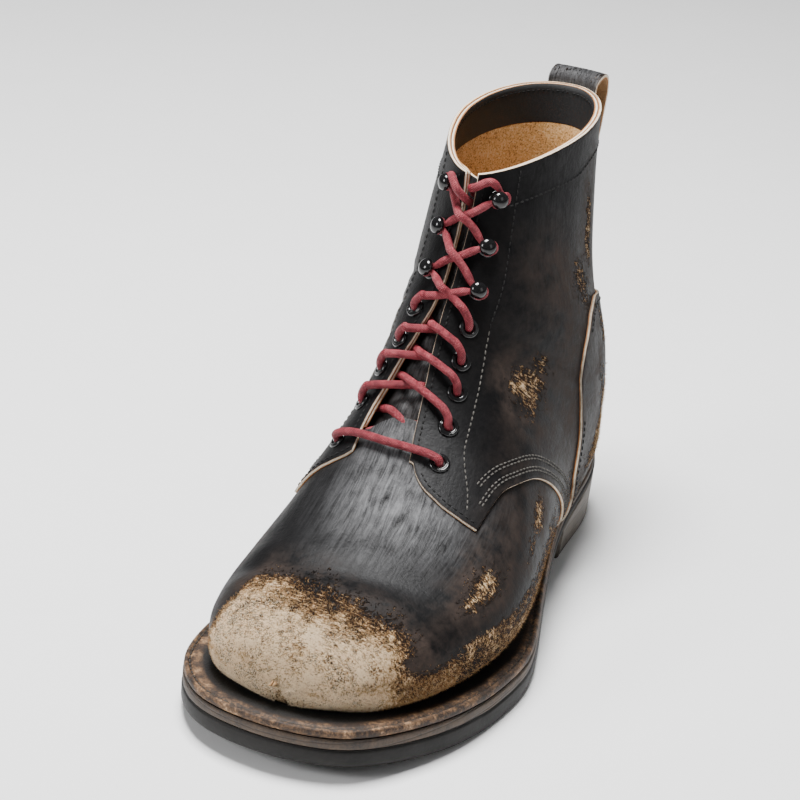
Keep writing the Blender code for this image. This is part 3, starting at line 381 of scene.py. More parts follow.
def piece(name, form, looks, stands_for=()):
    """One object from a shape: points that coincide are made one and collapsed corners dropped.

    The faces point outwards: the whole mesh is turned round if its volume comes out negative.
    """
    _, first, index = np.unique(np.round(form["points"], 3), axis=0, return_index=True,
                                return_inverse=True)
    index = index.reshape(-1)
    points = form["points"][first]
    quads = form["quads"]
    a, b, c, d = (points[index[quads[:, k]]] for k in range(4))
    volume = np.einsum("ij,ij->i", a, np.cross(b, c)) + np.einsum("ij,ij->i", a, np.cross(c, d))
    if volume.sum() < 0:
        quads = quads[:, ::-1]
    ring = index[quads]
    keep = ring != np.roll(ring, -1, axis=1)
    whole = keep.sum(1) > 2
    keep &= whole[:, None]
    corners, source, count = ring[keep], quads[keep], keep.sum(1)[whole]
    mesh = bpy.data.meshes.new(name)
    mesh.vertices.add(len(points))
    mesh.vertices.foreach_set("co", ((points - MIDDLE) * MM).astype(np.float32).ravel())
    mesh.loops.add(len(corners))
    mesh.loops.foreach_set("vertex_index", corners.astype(np.int32))
    mesh.polygons.add(len(count))
    mesh.polygons.foreach_set("loop_start", (np.cumsum(count) - count).astype(np.int32))
    mesh.polygons.foreach_set("material_index", form["looks"][whole].astype(np.int32))
    mesh.polygons.foreach_set("use_smooth", np.ones(len(count), bool))
    layer = mesh.uv_layers.new(name="lay")
    layer.data.foreach_set("uv", form["uv"][source].astype(np.float32).ravel())
    for mark, values in form["marks"].items():
        made = mesh.attributes.new(mark, "FLOAT", "POINT")
        made.data.foreach_set("value", values[first].astype(np.float32))
    mesh.update(calc_edges=True)
    mesh.validate()
    for look in looks:
        mesh.materials.append(look)
    made = bpy.data.objects.new(name, mesh)
    bpy.context.scene.collection.objects.link(made)
    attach(made, "root")
    if stands_for:
        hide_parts(*stands_for)
    return made


# Shares of the thickness where a cut edge has its points, close together by both faces.
EDGE_SHARES = np.concatenate([[0.0, 0.06], np.linspace(0.2, 0.8, 3), [0.94, 1.0]])


def sheet(outer, inner, uv, marks, bulge=0.12, joined_first=None, joined_last=None):
    """A closed skin between two matching grids, with a rounded cut edge round all four sides.

    The cut edge runs from the outer to the inner rim and swells by bulge mm away from the grid.
    Its uv is (distance along the edge, share of the thickness).  The rows marked in joined_first
    and joined_last have no edge on their first and last column.  Looks 0, 1 and 2 are the outer
    face, the cut edge and the inner face.
    """
    rows, columns = outer.shape[:2]
    faces = [shape(outer, grid_quads(rows, columns), 0, uv, marks),
             shape(inner, grid_quads(rows, columns)[:, ::-1], 2, uv, marks)]
    none = np.zeros(rows, bool)
    first = none if joined_first is None else joined_first
    last = none if joined_last is None else joined_last
    i = np.concatenate([np.zeros(columns, int), np.arange(1, rows),
                        np.full(columns - 1, rows - 1), np.arange(rows - 2, 0, -1)])
    j = np.concatenate([np.arange(columns), np.full(rows - 1, columns - 1),
                        np.arange(columns - 2, -1, -1), np.zeros(rows - 2, int)])
    i_in, j_in = np.clip(i, 1, rows - 2), np.clip(j, 1, columns - 2)
    top, low = outer[i, j], inner[i, j]
    away = (top + low) / 2 - (outer[i_in, j_in] + inner[i_in, j_in]) / 2
    away /= np.maximum(np.linalg.norm(away, axis=-1, keepdims=True), 1e-6)
    share = EDGE_SHARES[:, None, None]
    swell = bulge * np.sin(share * PI) ** 0.5
    wall = top[None] * (1 - share) + low[None] * share + away[None] * swell
    edge_uv = np.stack(np.broadcast_arrays(run_of(top)[None] * MM, EDGE_SHARES[:, None]), -1)
    count = len(i)
    k, m = np.mgrid[:len(share) - 1, :count]
    after = (m + 1) % count
    quads = np.stack([k * count + after, k * count + m, (k + 1) * count + m,
                      (k + 1) * count + after], -1)
    i_next, j_next = np.roll(i, -1), np.roll(j, -1)
    skip = ((j == columns - 1) & (j_next == columns - 1) & last[i] & last[i_next]
            | (j == 0) & (j_next == 0) & first[i] & first[i_next])
    quads = quads[:, ~skip].reshape(-1, 4)
    edge_marks = {name: np.broadcast_to(np.asarray(value)[i, j], (len(share), count))
                  for name, value in marks.items()}
    return joined(faces + [shape(wall, quads, 1, edge_uv, edge_marks)])


def tube(path, radius, sides):
    """A round cord along a path, with round ends.  uv is (share round it, distance along it).

    Its cross-section keeps to one spoke that is carried along and held square to the path.
    """
    path = np.asarray(path, float)
    along = np.gradient(path, axis=0)
    along /= np.linalg.norm(along, axis=1, keepdims=True)
    up = np.zeros_like(along)
    up[0] = np.cross(along[0], (0.0, 0.0, 1.0) if abs(along[0][2]) < 0.8 else (1.0, 0.0, 0.0))
    for k in range(1, len(path)):
        up[k] = up[k - 1] - along[k] * (up[k - 1] @ along[k])
    up /= np.linalg.norm(up, axis=1, keepdims=True)
    third = np.cross(along, up)
    length = run_of(path)
    radius = np.broadcast_to(np.asarray(radius, float), (len(path),))
    dome = np.radians((90.0, 65.0, 35.0))
    back, reach = np.cos(dome), np.sin(dome)
    path = np.concatenate([path[:1] - along[:1] * radius[0] * reach[:, None], path,
                           path[-1:] + along[-1:] * radius[-1] * reach[::-1, None]])
    radius = np.concatenate([radius[0] * back, radius, radius[-1] * back[::-1]])
    up = np.concatenate([np.repeat(up[:1], 3, 0), up, np.repeat(up[-1:], 3, 0)])
    third = np.concatenate([np.repeat(third[:1], 3, 0), third, np.repeat(third[-1:], 3, 0)])
    length = np.concatenate([[-1.6, -1.2, -0.7], length, length[-1] + (0.7, 1.2, 1.6)])
    angle = np.linspace(0.0, 2 * PI, sides + 1)
    ring = (up[:, None] * np.cos(angle)[None, :, None]
            + third[:, None] * np.sin(angle)[None, :, None])
    points = path[:, None] + radius[:, None, None] * ring
    uv = np.stack(np.broadcast_arrays(angle[None] / (2 * PI), length[:, None] * MM), -1)
    return shape(points, grid_quads(len(path), sides + 1), 0, uv)


def turned_form(profile, centre, axis, sides, looks=None):
    """A lathe form about the axis; profile rows are (radius, height) from underside to top.

    looks has one number for each step of the profile.
    """
    spoke_a = np.cross(axis, (0.0, 0.0, 1.0))
    spoke_a /= np.linalg.norm(spoke_a)
    spoke_b = np.cross(axis, spoke_a)
    angle = np.linspace(0.0, 2 * PI, sides + 1)
    spoke = spoke_a * np.cos(angle)[:, None] + spoke_b * np.sin(angle)[:, None]
    profile = np.asarray(profile, float)
    points = centre + profile[:, None, :1] * spoke[None] + profile[:, None, 1:] * axis
    look = 0 if looks is None else np.repeat(looks, sides)
    uv = np.stack(np.broadcast_arrays(angle[None] * 0.01, profile[:, None, 1] * MM), -1)
    return shape(points, grid_quads(len(profile), sides + 1), look, uv)


# ---- wear and painted sheen: smooth fields over the leather, as functions of the section and of s ---
# Where the bare suede of the toe and of the lateral feather line ends: s, section.
SUEDE_END = ((-1.0, 3.0), (-0.6, 2.5), (-0.39, 2.35), (-0.25, 2.85), (-0.17, 3.40), (-0.08, 3.42),
             (0.0, 3.36), (0.09, 3.20), (0.17, 3.12), (0.26, 3.20), (0.33, 3.20), (0.40, 3.45),
             (0.45, 4.90), (0.49, 6.90), (0.55, 7.70), (0.65, 8.3), (1.0, 8.6))
# And where it is worn right through to cream.
CREAM_END = ((-1.0, 2.4), (-0.39, 2.1), (-0.25, 2.75), (-0.06, 2.65), (0.07, 2.30), (0.20, 2.35),
             (0.32, 2.65), (0.41, 2.95), (0.55, 3.6), (0.7, 4.2), (1.0, 5.0))
# Single scuffs: section, s, half length along the boot, half width across, strength.
SCUFFS = ((5.32, 0.335, 0.85, 0.060, 0.50), (7.75, 0.405, 0.65, 0.034, 0.55),
          (7.15, 0.405, 0.55, 0.026, 0.50), (10.17, 0.285, 0.95, 0.062, 0.58),
          (11.3, 0.30, 0.6, 0.04, 0.45), (15.0, 0.500, 1.00, 0.075, 0.57),
          (16.6, 0.575, 1.20, 0.035, 0.57), (14.0, 0.60, 0.9, 0.06, 0.50),
          (12.4, 0.576, 0.9, 0.05, 0.46), (5.4, -0.43, 0.8, 0.06, 0.62), (8.3, -0.5, 0.8, 0.05, 0.50),
          (12.2, -0.62, 0.6, 0.06, 0.50), (14.2, -0.46, 0.35, 0.03, 0.42),
          (12.9, 0.84, 2.3, 0.22, 0.66), (11.7, 0.67, 1.9, 0.085, 0.80), (12.8, -0.9, 1.4, 0.16, 0.58))
# Places inside the suede that keep more of the black face: the same columns.
KEPT = ((3.35, 0.425, 0.85, 0.070, 0.40), (2.2, 0.52, 0.6, 0.06, 0.22), (1.1, 0.1, 0.35, 0.05, 0.16),
        (1.9, -0.55, 0.7, 0.05, 0.2), (6.2, 0.52, 0.7, 0.03, 0.2), (0.9, -0.3, 0.25, 0.05, 0.16),
        (2.6, 0.02, 0.25, 0.09, 0.14), (0.6, 0.55, 0.3, 0.06, 0.2))


def nearness(u, s, spots):
    """Each spot's strength, and the distance from it in its own half lengths and half widths."""
    for at_u, at_s, half_u, half_s, strength in spots:
        yield strength, np.hypot((u - at_u) / half_u, (s - at_s) / half_s)


def scuff(u, s):
    """How far the leather's face is worn: 0 whole, about 0.5 fringed, 1 bare suede.

    It is 0.5 at the suede's end, 1 somewhat further in than the cream line and 0 as far outside.
    A single scuff has its full strength in its middle and none from 1.7 of its half sizes on.
    """
    end = through(s, *zip(*SUEDE_END))
    cream = through(s, *zip(*CREAM_END))
    worn = 0.5 + 0.5 * np.clip((end - u) / np.maximum(1.35 * (end - cream), 0.4), -1.0, 1.0)
    worn = np.minimum(worn, 1.0 - 0.40 * ease(u, 1.9, 3.1) * ease(s, 0.24, 0.42))
    for strength, r in nearness(u, s, SCUFFS):
        worn = np.maximum(worn, strength * (1.0 - ease(r, 0.15, 1.7)))
    for strength, r in nearness(u, s, KEPT):
        worn = worn - strength * (1.0 - ease(r, 0.2, 1.5))
    return np.clip(worn, 0.0, 1.0)


def stripe(u, s, strength, at_s, half_s, start, end):
    """A stripe along the boot: a bell across it at at_s, eased in over start and out over end."""
    return strength * np.exp(-((s - at_s) / half_s) ** 2) * ease(u, *start) * (1.0 - ease(u, *end))


def haze(u, s):
    """How much brown-grey dirt lies on the leather.

    It lies round the suede and each scuff, along the feather line, in a stripe up both sides of
    the vamp and up the shaft's lateral side.
    """
    near_suede = 1.0 - ease(u - through(s, *zip(*SUEDE_END)), 0.1, 1.25)
    low = ease(np.abs(s), 0.50, 0.95) * 0.55
    band = stripe(u, s, 1.0, 0.335, 0.085, (4.0, 4.8), (8.2, 9.0))
    band += stripe(u, s, 1.0, -0.40, 0.09, (4.0, 4.8), (8.2, 9.0))
    shaft = stripe(u, s, 0.8, 0.38, 0.15, (8.6, 9.8), (15.5, 17.5))
    dirt = np.maximum(np.maximum(near_suede, low), 0.70 * band) + shaft
    for _, r in nearness(u, s, SCUFFS):
        dirt = np.maximum(dirt, 0.95 * (1.0 - ease(r, 0.9, 2.3)))
    return np.clip(dirt, 0.0, 1.0)


def rub(u, s):
    """Grey polish where the leather is flexed and rubbed, partly a painted sheen in place of the
    overhead light's highlight: vamp's top, ankle and lateral waist.
    """
    vamp = (0.25 * ease(u, 3.9, 4.6) + 0.75 * ease(u, 4.5, 5.8)) * (1.0 - ease(u, 7.0, 7.6))
    vamp = vamp * np.exp(-((s - 0.07) / 0.15) ** 2)
    ankle = 0.14 * ease(u, 9.0, 11.0) * np.exp(-((s - 0.42) / 0.14) ** 2)
    waist = 0.2 * np.exp(-((u - 9.1) / 0.6) ** 2) * np.exp(-((s - 0.5) / 0.12) ** 2)
    return np.clip(vamp + ankle + waist, 0.0, 1.0)


# Soft creases that can be felt: sections and s of both ends, depth, half width in sections.
CREASES = ((4.05, -0.32, 3.85, -0.02, 1.3, 0.30), (3.85, -0.02, 4.45, 0.24, 1.4, 0.30),
           (5.3, -0.10, 6.9, -0.03, 0.22, 0.10), (5.2, 0.02, 7.0, 0.02, 0.30, 0.10),
           (5.0, 0.10, 6.2, 0.09, 0.22, 0.10), (10.6, 0.16, 10.2, 0.42, 0.45, 0.20),
           (11.8, 0.20, 12.0, 0.45, 0.5, 0.25), (10.5, -0.20, 10.2, -0.45, 0.5, 0.22),
           (11.9, -0.18, 12.2, -0.48, 0.6, 0.28), (13.6, -0.15, 13.9, -0.45, 0.5, 0.26),
           (13.3, 0.22, 13.7, 0.46, 0.35, 0.24), (8.0, 0.30, 6.6, 0.34, 0.35, 0.16),
           (9.6, 0.18, 9.0, 0.40, 0.35, 0.22), (9.4, -0.24, 9.0, -0.44, 0.4, 0.24))
CREASE_S_SCALE = 9.0       # one unit of s counts as this many sections


def creased(u, s):
    """Height of the creases: each a trough along a line, with a low swell on both sides."""
    height = np.zeros(np.broadcast(u, s).shape)
    for u0, s0, u1, s1, depth, wide in CREASES:
        du, ds = u1 - u0, (s1 - s0) * CREASE_S_SCALE
        pu, ps = u - u0, (s - s0) * CREASE_S_SCALE
        t = np.clip((pu * du + ps * ds) / (du * du + ds * ds), 0.0, 1.0)
        away = np.hypot(pu - t * du, ps - t * ds) / wide
        fade = np.sin(PI * (0.12 + 0.76 * t))
        height += depth * fade * (0.35 * np.exp(-((away - 1.9) / 0.8) ** 2) - np.exp(-away ** 2))
    return height


def wear_marks(u, s):
    """The three fields of wear, one of them also a painted sheen, by the names that the leather's
    material reads.
    """
    return {"scuff": scuff(u, s), "haze": haze(u, s), "rub": rub(u, s)}


LAY_ACROSS = 0.105         # metres across the boot that one unit of s counts as
LAY_ALONG = 0.0165         # metres along the boot that one section counts as


def lay(u, s):
    """Flat coordinates of the leather in metres, for streaks that follow it."""
    return np.stack([s * LAY_ACROSS, u * LAY_ALONG], -1)


def over(u, s, lift):
    """The creased leather at this height."""
    return offset(u, s, lift + creased(u, s))


# ---- leather pieces ------------------------------------------------------------------------------
def build_vamp(looks):
    """Plain vamp: rows from the toe tip to its back edge, columns from one feather to the other.

    The first rows go from the tip to the first section, and the rest divide the way from there
    to the back edge into equal shares of each column.  It sinks in under the quarters.
    """
    s = np.concatenate([np.linspace(-1.0, -0.5, 40)[:-1], np.linspace(-0.5, 0.5, 130),
                        np.linspace(0.5, 1.0, 40)[1:]])
    t = np.linspace(0.0, TOE_SECTION, 16)
    shares = np.linspace(0.0, 1.0, 170)
    back = vamp_back(s)
    u = t[:, None] + 0.0 * s[None, :]
    rest = TOE_SECTION + shares[1:, None] * (back[None, :] - TOE_SECTION)
    u = np.concatenate([u, rest])
    s = np.broadcast_to(s, u.shape)
    edge = np.where(s > 0, front_edge(np.abs(s), 1.0), front_edge(np.abs(s), -1.0))
    tucked = ease(u - edge, -0.10, 0.12)
    tucked = np.where(np.abs(s) < 0.075, 0.0, tucked)
    lift = VAMP_LIFT + (VAMP_TUCKED - VAMP_LIFT) * tucked
    outer = over(u, s, lift)
    inner = over(u, s, lift - VAMP_THICK)
    outer[0], inner[0] = outer[0].mean(0), inner[0].mean(0)
    closed = u[:, 0] <= TOE_SECTION + 1e-6
    form = sheet(outer, inner, lay(u, s), wear_marks(u, s), joined_first=closed,
                 joined_last=closed)
    return piece("vamp", form, looks, ("upper",))


def quarter_grid(side, start, rows=150):
    """Sections and s of a quarter: columns from its base to the facing, rows from front to collar.

    The columns hold shares a of the way from base to facing, with one right at the front edge's
    tip, so that its corner stays sharp.  start(a, first) gives another first section instead of
    the front edge's.
    """
    table = np.array(FRONT_OUT if side > 0 else FRONT_IN)
    edge_s = throat_edge(table[:, 1], side)
    tip = ((1.0 - table[:, 0]) / (1.0 - edge_s))[FRONT_TIP]
    a = np.concatenate([np.linspace(0.0, tip, 84), np.linspace(tip, 1.0, 40)[1:]])
    fine = np.linspace(table[0, 0], 1.0, 1500)
    fine_u = front_edge(fine, side)
    fine_a = (1.0 - fine) / (1.0 - throat_edge(fine_u, side))
    order = np.argsort(fine_a)
    first = np.interp(a, fine_a[order], fine_u[order])
    if start is not None:
        first = start(a, first)
    b = np.linspace(0.0, 1.0, rows)[:, None]
    u = first[None] + (COLLAR - first[None]) * b
    near = np.argmin(np.abs(u[:, 0] - HEEL_SECTION))
    u[near, 0] = HEEL_SECTION
    s = side * (1.0 - a[None] * (1.0 - throat_edge(u, side)))
    return u, s


def build_quarters(looks):
    """Both quarters with their raw front, facing and collar edges, joined on the back seam.

    In front of the ankle their polish and painted sheen are held back, because they belong to the vamp
    beneath.
    """
    parts = []
    for side in (1.0, -1.0):
        u, s = quarter_grid(side, None)
        lift = QUARTER_LIFT + 0.0 * u
        outer, inner = over(u, s, lift), over(u, s, np.full(u.shape, QUARTER_UNDER))
        if side < 0:
            outer, inner, u, s = outer[:, ::-1], inner[:, ::-1], u[:, ::-1], s[:, ::-1]
        closed = (u[:, 0] if side > 0 else u[:, -1]) >= HEEL_SECTION - 1e-6
        marks = wear_marks(u, s)
        marks["rub"] = marks["rub"] * (0.12 + 0.88 * ease(u, 7.6, 8.6))
        form = sheet(outer, inner, lay(u, s), marks, bulge=0.35,
                     joined_first=closed if side > 0 else None,
                     joined_last=closed if side < 0 else None)
        parts.append(form)
    return piece("quarters", joined(parts), looks)


def build_lining(looks):
    """The inside layer, which shows in the collar and as the second layer of the facings."""
    parts = []
    for side in (1.0, -1.0):
        def behind_vamp(a, first):
            """The lining starts a little behind the vamp's back edge."""
            s = side * (1.0 - a * (1.0 - throat_edge(first, side)))
            return np.maximum(first + 0.25, vamp_back(s) + 0.1)
        u, s = quarter_grid(side, behind_vamp, 90)
        outer = over(u, s, np.full(u.shape, LINING_LIFT))
        inner = over(u, s, np.full(u.shape, LINING_UNDER))
        if side < 0:
            outer, inner, u, s = outer[:, ::-1], inner[:, ::-1], u[:, ::-1], s[:, ::-1]
        closed = (u[:, 0] if side > 0 else u[:, -1]) >= HEEL_SECTION - 1e-6
        steps = np.linalg.norm(np.diff(inner[::-1], axis=0), axis=-1)
        down = np.concatenate([np.zeros((1, u.shape[1])), np.cumsum(steps, axis=0)])[::-1]
        form = sheet(outer, inner, lay(u, s), {"down": down * MM},
                     joined_first=closed if side > 0 else None,
                     joined_last=closed if side < 0 else None)
        parts.append(form)
    return piece("lining", joined(parts), looks)


# Edge of the heel counter: share v up the side, section at the front, section at the top.
COUNTER_EDGE = ((0.0, 9.2, 15.2), (0.20, 9.3, 15.15), (0.41, 9.6, 14.9), (0.48, 10.05, 14.35),
                (0.53, 10.65, 13.6), (0.56, 11.3, 12.85), (0.57, 11.8, 12.3))
COUNTER_TOP = 0.57         # v of its top edge
COUNTER_SEAM = 12.4        # behind this section both halves are joined on the back seam
COUNTER_LOW = 0.10         # v of its lower edge, in front of the seam


def build_counter(looks):
    """The heel counter: columns down each side from its top edge, rows from front to top."""
    share, front, top = (np.array(c) for c in zip(*COUNTER_EDGE))
    split = (COUNTER_SEAM - front[0]) / (top[0] - front[0])
    steps = np.concatenate([np.linspace(0.0, split, 60)[:-1], np.linspace(split, 1.0, 50)])
    low = np.where(steps < split - 1e-6, COUNTER_LOW * ease(split - steps, 0.0, 0.08), 0.0)
    lanes = np.sin(np.linspace(0.0, PI / 2, 70))
    v = COUNTER_TOP + (low[:, None] - COUNTER_TOP) * lanes[None, :]
    a, b = through(v, share, front), through(v, share, top)
    u = a + steps[:, None] * (b - a)
    closed = steps >= split - 1e-6
    parts = []
    for side in (1.0, -1.0):
        s = side * (1.0 - v)
        outer = over(u, s, np.full(u.shape, COUNTER_LIFT))
        inner = over(u, s, np.full(u.shape, COUNTER_UNDER))
        marks = wear_marks(u, s)
        coords = lay(u, s)
        if side < 0:
            outer, inner, coords = outer[:, ::-1], inner[:, ::-1], coords[:, ::-1]
            marks = {name: value[:, ::-1] for name, value in marks.items()}
        parts.append(sheet(outer, inner, coords, marks,
                           joined_last=closed if side > 0 else None,
                           joined_first=closed if side < 0 else None))
    return piece("counter", joined(parts), looks, ("heel_counter",))


BACKSTAY_HALF = 7.5
BACKSTAY_RISE = 1.3        # its face above the quarters'
ON_FACE = 0.05             # clearance of what lies on a face


def build_backstay(looks):
    """A narrow strip over the back seam, from the counter up to the collar."""
    u = np.linspace(15.0, COLLAR, 70)[:, None]
    x = np.linspace(-1.0, 1.0, 25)[None, :] * BACKSTAY_HALF
    reach = np.where(x > 0, SECTION["out"](u), SECTION["inn"](u))
    v = np.arcsin(np.clip(np.abs(x) / reach, 0.0, 1.0) ** (SIDE_LOW_POWER / 2.0)) / PI
    s = np.where(x < 0.0, -1.0, 1.0) * (1.0 - v)
    u = np.broadcast_to(u, s.shape)
    outer = over(u, s, np.full(s.shape, QUARTER_LIFT + BACKSTAY_RISE))
    inner = over(u, s, np.full(s.shape, QUARTER_LIFT + ON_FACE))
    form = sheet(outer, inner, lay(u, s), wear_marks(u, s))
    return piece("backstay", form, looks)


TONGUE_HALF = 31.0
TONGUE_HALF_TOP = 22.0
TONGUE_SNUG = 2.95
TONGUE_LACE_ROOM = 6.5
TONGUE_WALL = 1.8
# Folds across the tongue: section, height, half length in sections.
FOLDS = ((7.65, 1.6, 0.22), (8.2, -0.9, 0.18), (8.75, 1.5, 0.26), (9.35, -0.7, 0.2),
         (9.9, 1.2, 0.30), (10.5, -0.6, 0.2), (11.1, 0.9, 0.3))


def build_tongue(looks):
    """A cupped strip under the throat, with soft folds between the laces."""
    u = np.concatenate([np.linspace(5.7, 12.0, 130), np.linspace(12.0, 18.6, 70)[1:]])[:, None]
    share = np.linspace(-1.0, 1.0, 61)[None, :]
    half = np.interp(u, (5.7, 7.0, 19.0), (TONGUE_HALF - 6.0, TONGUE_HALF, TONGUE_HALF_TOP))
    distance = half * share
    s = across(u, np.abs(distance), np.where(distance < 0.0, -1.0, 1.0))
    rise = np.clip((u - 6.0) / 1.2, 0.0, 1.0)
    cup = ease((1.0 - np.abs(share)) / 0.35, 0.0, 1.0)
    depth = TONGUE_SNUG + (TONGUE_LACE_ROOM - TONGUE_SNUG) * rise * cup
    fold = sum(h * np.exp(-((u + 0.25 * share - at) / wide) ** 2) for at, h, wide in FOLDS)
    depth = depth - fold * np.exp(-(distance / 11.0) ** 2)
    u = np.broadcast_to(u, s.shape)
    outer, inner = offset(u, s, -depth), offset(u, s, -depth - TONGUE_WALL)
    # A grey sheen is painted down the tongue's middle.
    marks = {"scuff": np.zeros(s.shape), "haze": 0.25 * np.ones(s.shape),
             "rub": 0.75 * np.exp(-(distance / 9.0) ** 2) + 0.0 * s}
    return piece("tongue_leather", sheet(outer, inner, lay(u, s), marks), looks,
                 ("tongue",))


LOOP_HALF_WIDTH = 12.0
LOOP_THICK = 2.2
LOOP_COLUMNS = 31
LOOP_FREE_FROM = 2.5       # past this distance out, the strap follows the shaft's round less
LOOP_FREE_OVER = 7.0       # and this much further out it would be flat,
LOOP_LEAST_BOW = 0.25      # but keeps this share of the round
# Middle line of the strap: section, distance out from the leather's face, rise.
LOOP_PATH = ((16.9, 1.65, 0.0), (17.6, 1.7, 0.0), (18.4, 1.75, 0.0), (19.0, 1.85, 0.0),
             (19.0, 2.4, 2.3), (19.0, 4.2, 4.3), (19.0, 7.0, 5.0), (19.0, 10.0, 4.1),
             (19.0, 11.8, 1.0), (19.0, 12.1, -3.5), (18.6, 11.4, 0.0), (18.2, 9.6, 0.0),
             (17.8, 7.1, 0.0), (17.4, 4.9, 0.0), (17.1, 4.3, 0.0), (16.9, 4.2, 0.0))


def build_pull_loop(looks):
    """The strap folded double behind the shaft: up its back, over in a low loop and down again."""
    mid = LOOP_COLUMNS // 2
    rows = np.array(LOOP_PATH)
    t = np.linspace(0.0, len(rows) - 1.0, 150)
    at = np.arange(len(rows))
    u, out, rise = (through(t, at, rows[:, k])[:, None] for k in range(3))
    x = np.linspace(-LOOP_HALF_WIDTH, LOOP_HALF_WIDTH, LOOP_COLUMNS)[None, :]
    side = np.where(x < 0.0, -1.0, 1.0)
    wide = np.where(x < 0.0, SECTION["inn"](u), SECTION["out"](u))
    v = np.arcsin((np.abs(x) / wide) ** (SIDE_LOW_POWER / 2.0)) / PI
    turn = math.radians(ANKLE_TURN_DEG)
    back = np.array([-math.sin(turn), math.cos(turn), 0.0])
    middle = leather(u, side * (1.0 - v))
    centre = middle[:, mid:mid + 1]
    across_way = np.array([math.cos(turn), math.sin(turn), 0.0])
    flat = centre + (x[..., None] - x[0, mid]) * across_way
    follow = np.clip(1.0 - (out - LOOP_FREE_FROM) / LOOP_FREE_OVER, LOOP_LEAST_BOW, 1.0)[..., None]
    middle = flat + (middle - flat) * follow + out[..., None] * back
    middle[..., 2] += rise
    along = np.gradient(middle[:, mid], axis=0)
    ahead, up = along @ back, along[:, 2]
    face = up[:, None] * back - ahead[:, None] * np.array([0.0, 0.0, 1.0])
    face *= LOOP_THICK / 2 / np.linalg.norm(face, axis=1, keepdims=True)
    coords = np.stack(np.broadcast_arrays(x * MM, run_of(middle[:, mid])[:, None] * MM), -1)
    worn = 0.22 + 0.14 * np.exp(-((rise - 5.0) / 2.0) ** 2) + 0.0 * x
    # The strap carries half of the grey polish and painted sheen.
    marks = {"scuff": worn, "haze": 0.0 * worn + 0.3, "rub": 0.0 * worn + 0.5}
    form = sheet(middle - face[:, None], middle + face[:, None], coords, marks)
    return piece("pull_loop_strap", form, looks, ("pull_loop",))


# ---- sole ----------------------------------------------------------------------------------------
SOLE_COUNT = 200


def outline(count=SOLE_COUNT, shrink=0.0):
    """Rows (lateral xy, medial xy) of the sole's edge from toe to heel, moved in by shrink."""
    u = np.linspace(0.0, len(SOLE) - 1.0, count)
    sides = []
    for name, sign in (("out", 1.0), ("inn", -1.0)):
        x, y = sign * STATION[name](u), STATION["y"](u)
        dx, dy = np.gradient(x, u), np.gradient(y, u)
        dx[0], dy[0], dx[-1], dy[-1] = sign, 0.0, -sign, 0.0
        size = np.hypot(dx, dy)
        sides.append(np.stack([x - sign * shrink * dy / size, y + sign * shrink * dx / size], -1))
    lateral, medial = sides
    lateral[0, 0] = medial[0, 0] = lateral[-1, 0] = medial[-1, 0] = 0.0
    return lateral, medial


def feather(shrink=0.0):
    """The same rows along the leather's feather edge, drawn in about its middle."""
    u = np.linspace(TOE_SECTION, HEEL_SECTION, SOLE_COUNT)
    rows = []
    for side in (1.0, -1.0):
        plan = leather(u, np.full_like(u, side))[:, :2]
        middle = (plan[0, 1] + plan[-1, 1]) / 2
        plan[:, 0] *= 1.0 - shrink / FEATHER_HALF_WIDTH
        plan[:, 1] += (middle - plan[:, 1]) * 1.8 * shrink / (plan[-1, 1] - middle)
        plan[[0, -1], 0] = 0.0
        rows.append(plan)
    return rows


def side_wall(profile):
    """Both side walls of a sole piece; profile rows are (rows, heights at y), in order."""
    parts = []
    for which, turn in ((0, False), (1, True)):
        grid = np.stack([np.column_stack([rows[which], height(rows[which][:, 1])])
                         for rows, height in profile])
        run = run_of(profile[0][0][which])
        uv = np.stack(np.broadcast_arrays(run[None] * MM, grid[..., 2] * MM), -1)
        quads = grid_quads(*grid.shape[:2])
        parts.append(shape(grid, quads[:, ::-1] if turn else quads, 0, uv))
    return parts


CAP_COLUMNS = 9


def cap(rows, height, upward):
    """A grid from the lateral to the medial row, at these heights."""
    share = np.linspace(0.0, 1.0, CAP_COLUMNS)[None, :, None]
    plan = rows[0][:, None] * (1 - share) + rows[1][:, None] * share
    grid = np.concatenate([plan, height(plan[..., 1])[..., None]], -1)
    quads = grid_quads(*grid.shape[:2])
    return shape(grid, quads if upward else quads[:, ::-1], 0, plan * MM)


def build_plate(name, profile, look, stands_for):
    """One layer of the sole: both side walls, closed below and above by caps."""
    form = joined(side_wall(profile) + [cap(*profile[0], False), cap(*profile[-1], True)])
    return piece(name, form, [look], stands_for)


def at_level(name, rise=0.0):
    """A layer's heights moved up by rise, as a function of y."""
    return lambda y: level(name, y) + rise


# Edges of the layers, from below up: how far in from the outline, a face of the layer, rise.
OUTSOLE_EDGE = ((1.9, "outsole_under", 0.0), (0.9, "outsole_under", 0.25),
                (0.25, "outsole_under", 1.0), (0.0, "outsole_under", 1.9),
                (0.05, "outsole_top", -1.2), (0.35, "outsole_top", -0.3), (0.9, "outsole_top", 0.0))
MIDSOLE_EDGE = ((1.0, "midsole_under", 0.0), (0.45, "midsole_under", 0.35),
                (0.3, "midsole_under", 1.2), (0.35, "midsole_top", -0.9),
                (0.7, "midsole_top", -0.15), (1.1, "midsole_top", 0.0))
WELT_EDGE = ((1.5, "welt_under", 0.0), (0.9, "welt_under", 0.5), (0.6, "welt_under", 1.4),
             (0.8, "welt_top", -0.9), (1.3, "welt_top", -0.25), (2.0, "welt_top", 0.0),
             (2.5, "welt_top", -0.15), (2.8, "welt_top", -0.75), (3.5, "welt_top", -0.75),
             (3.9, "welt_top", -0.1), (5.2, "welt_top", -0.05))


def edge_rows(table):
    """The rows of a layer's edge: the outline moved in, each row with its heights."""
    return [(outline(shrink=shrink), at_level(face, rise)) for shrink, face, rise in table]


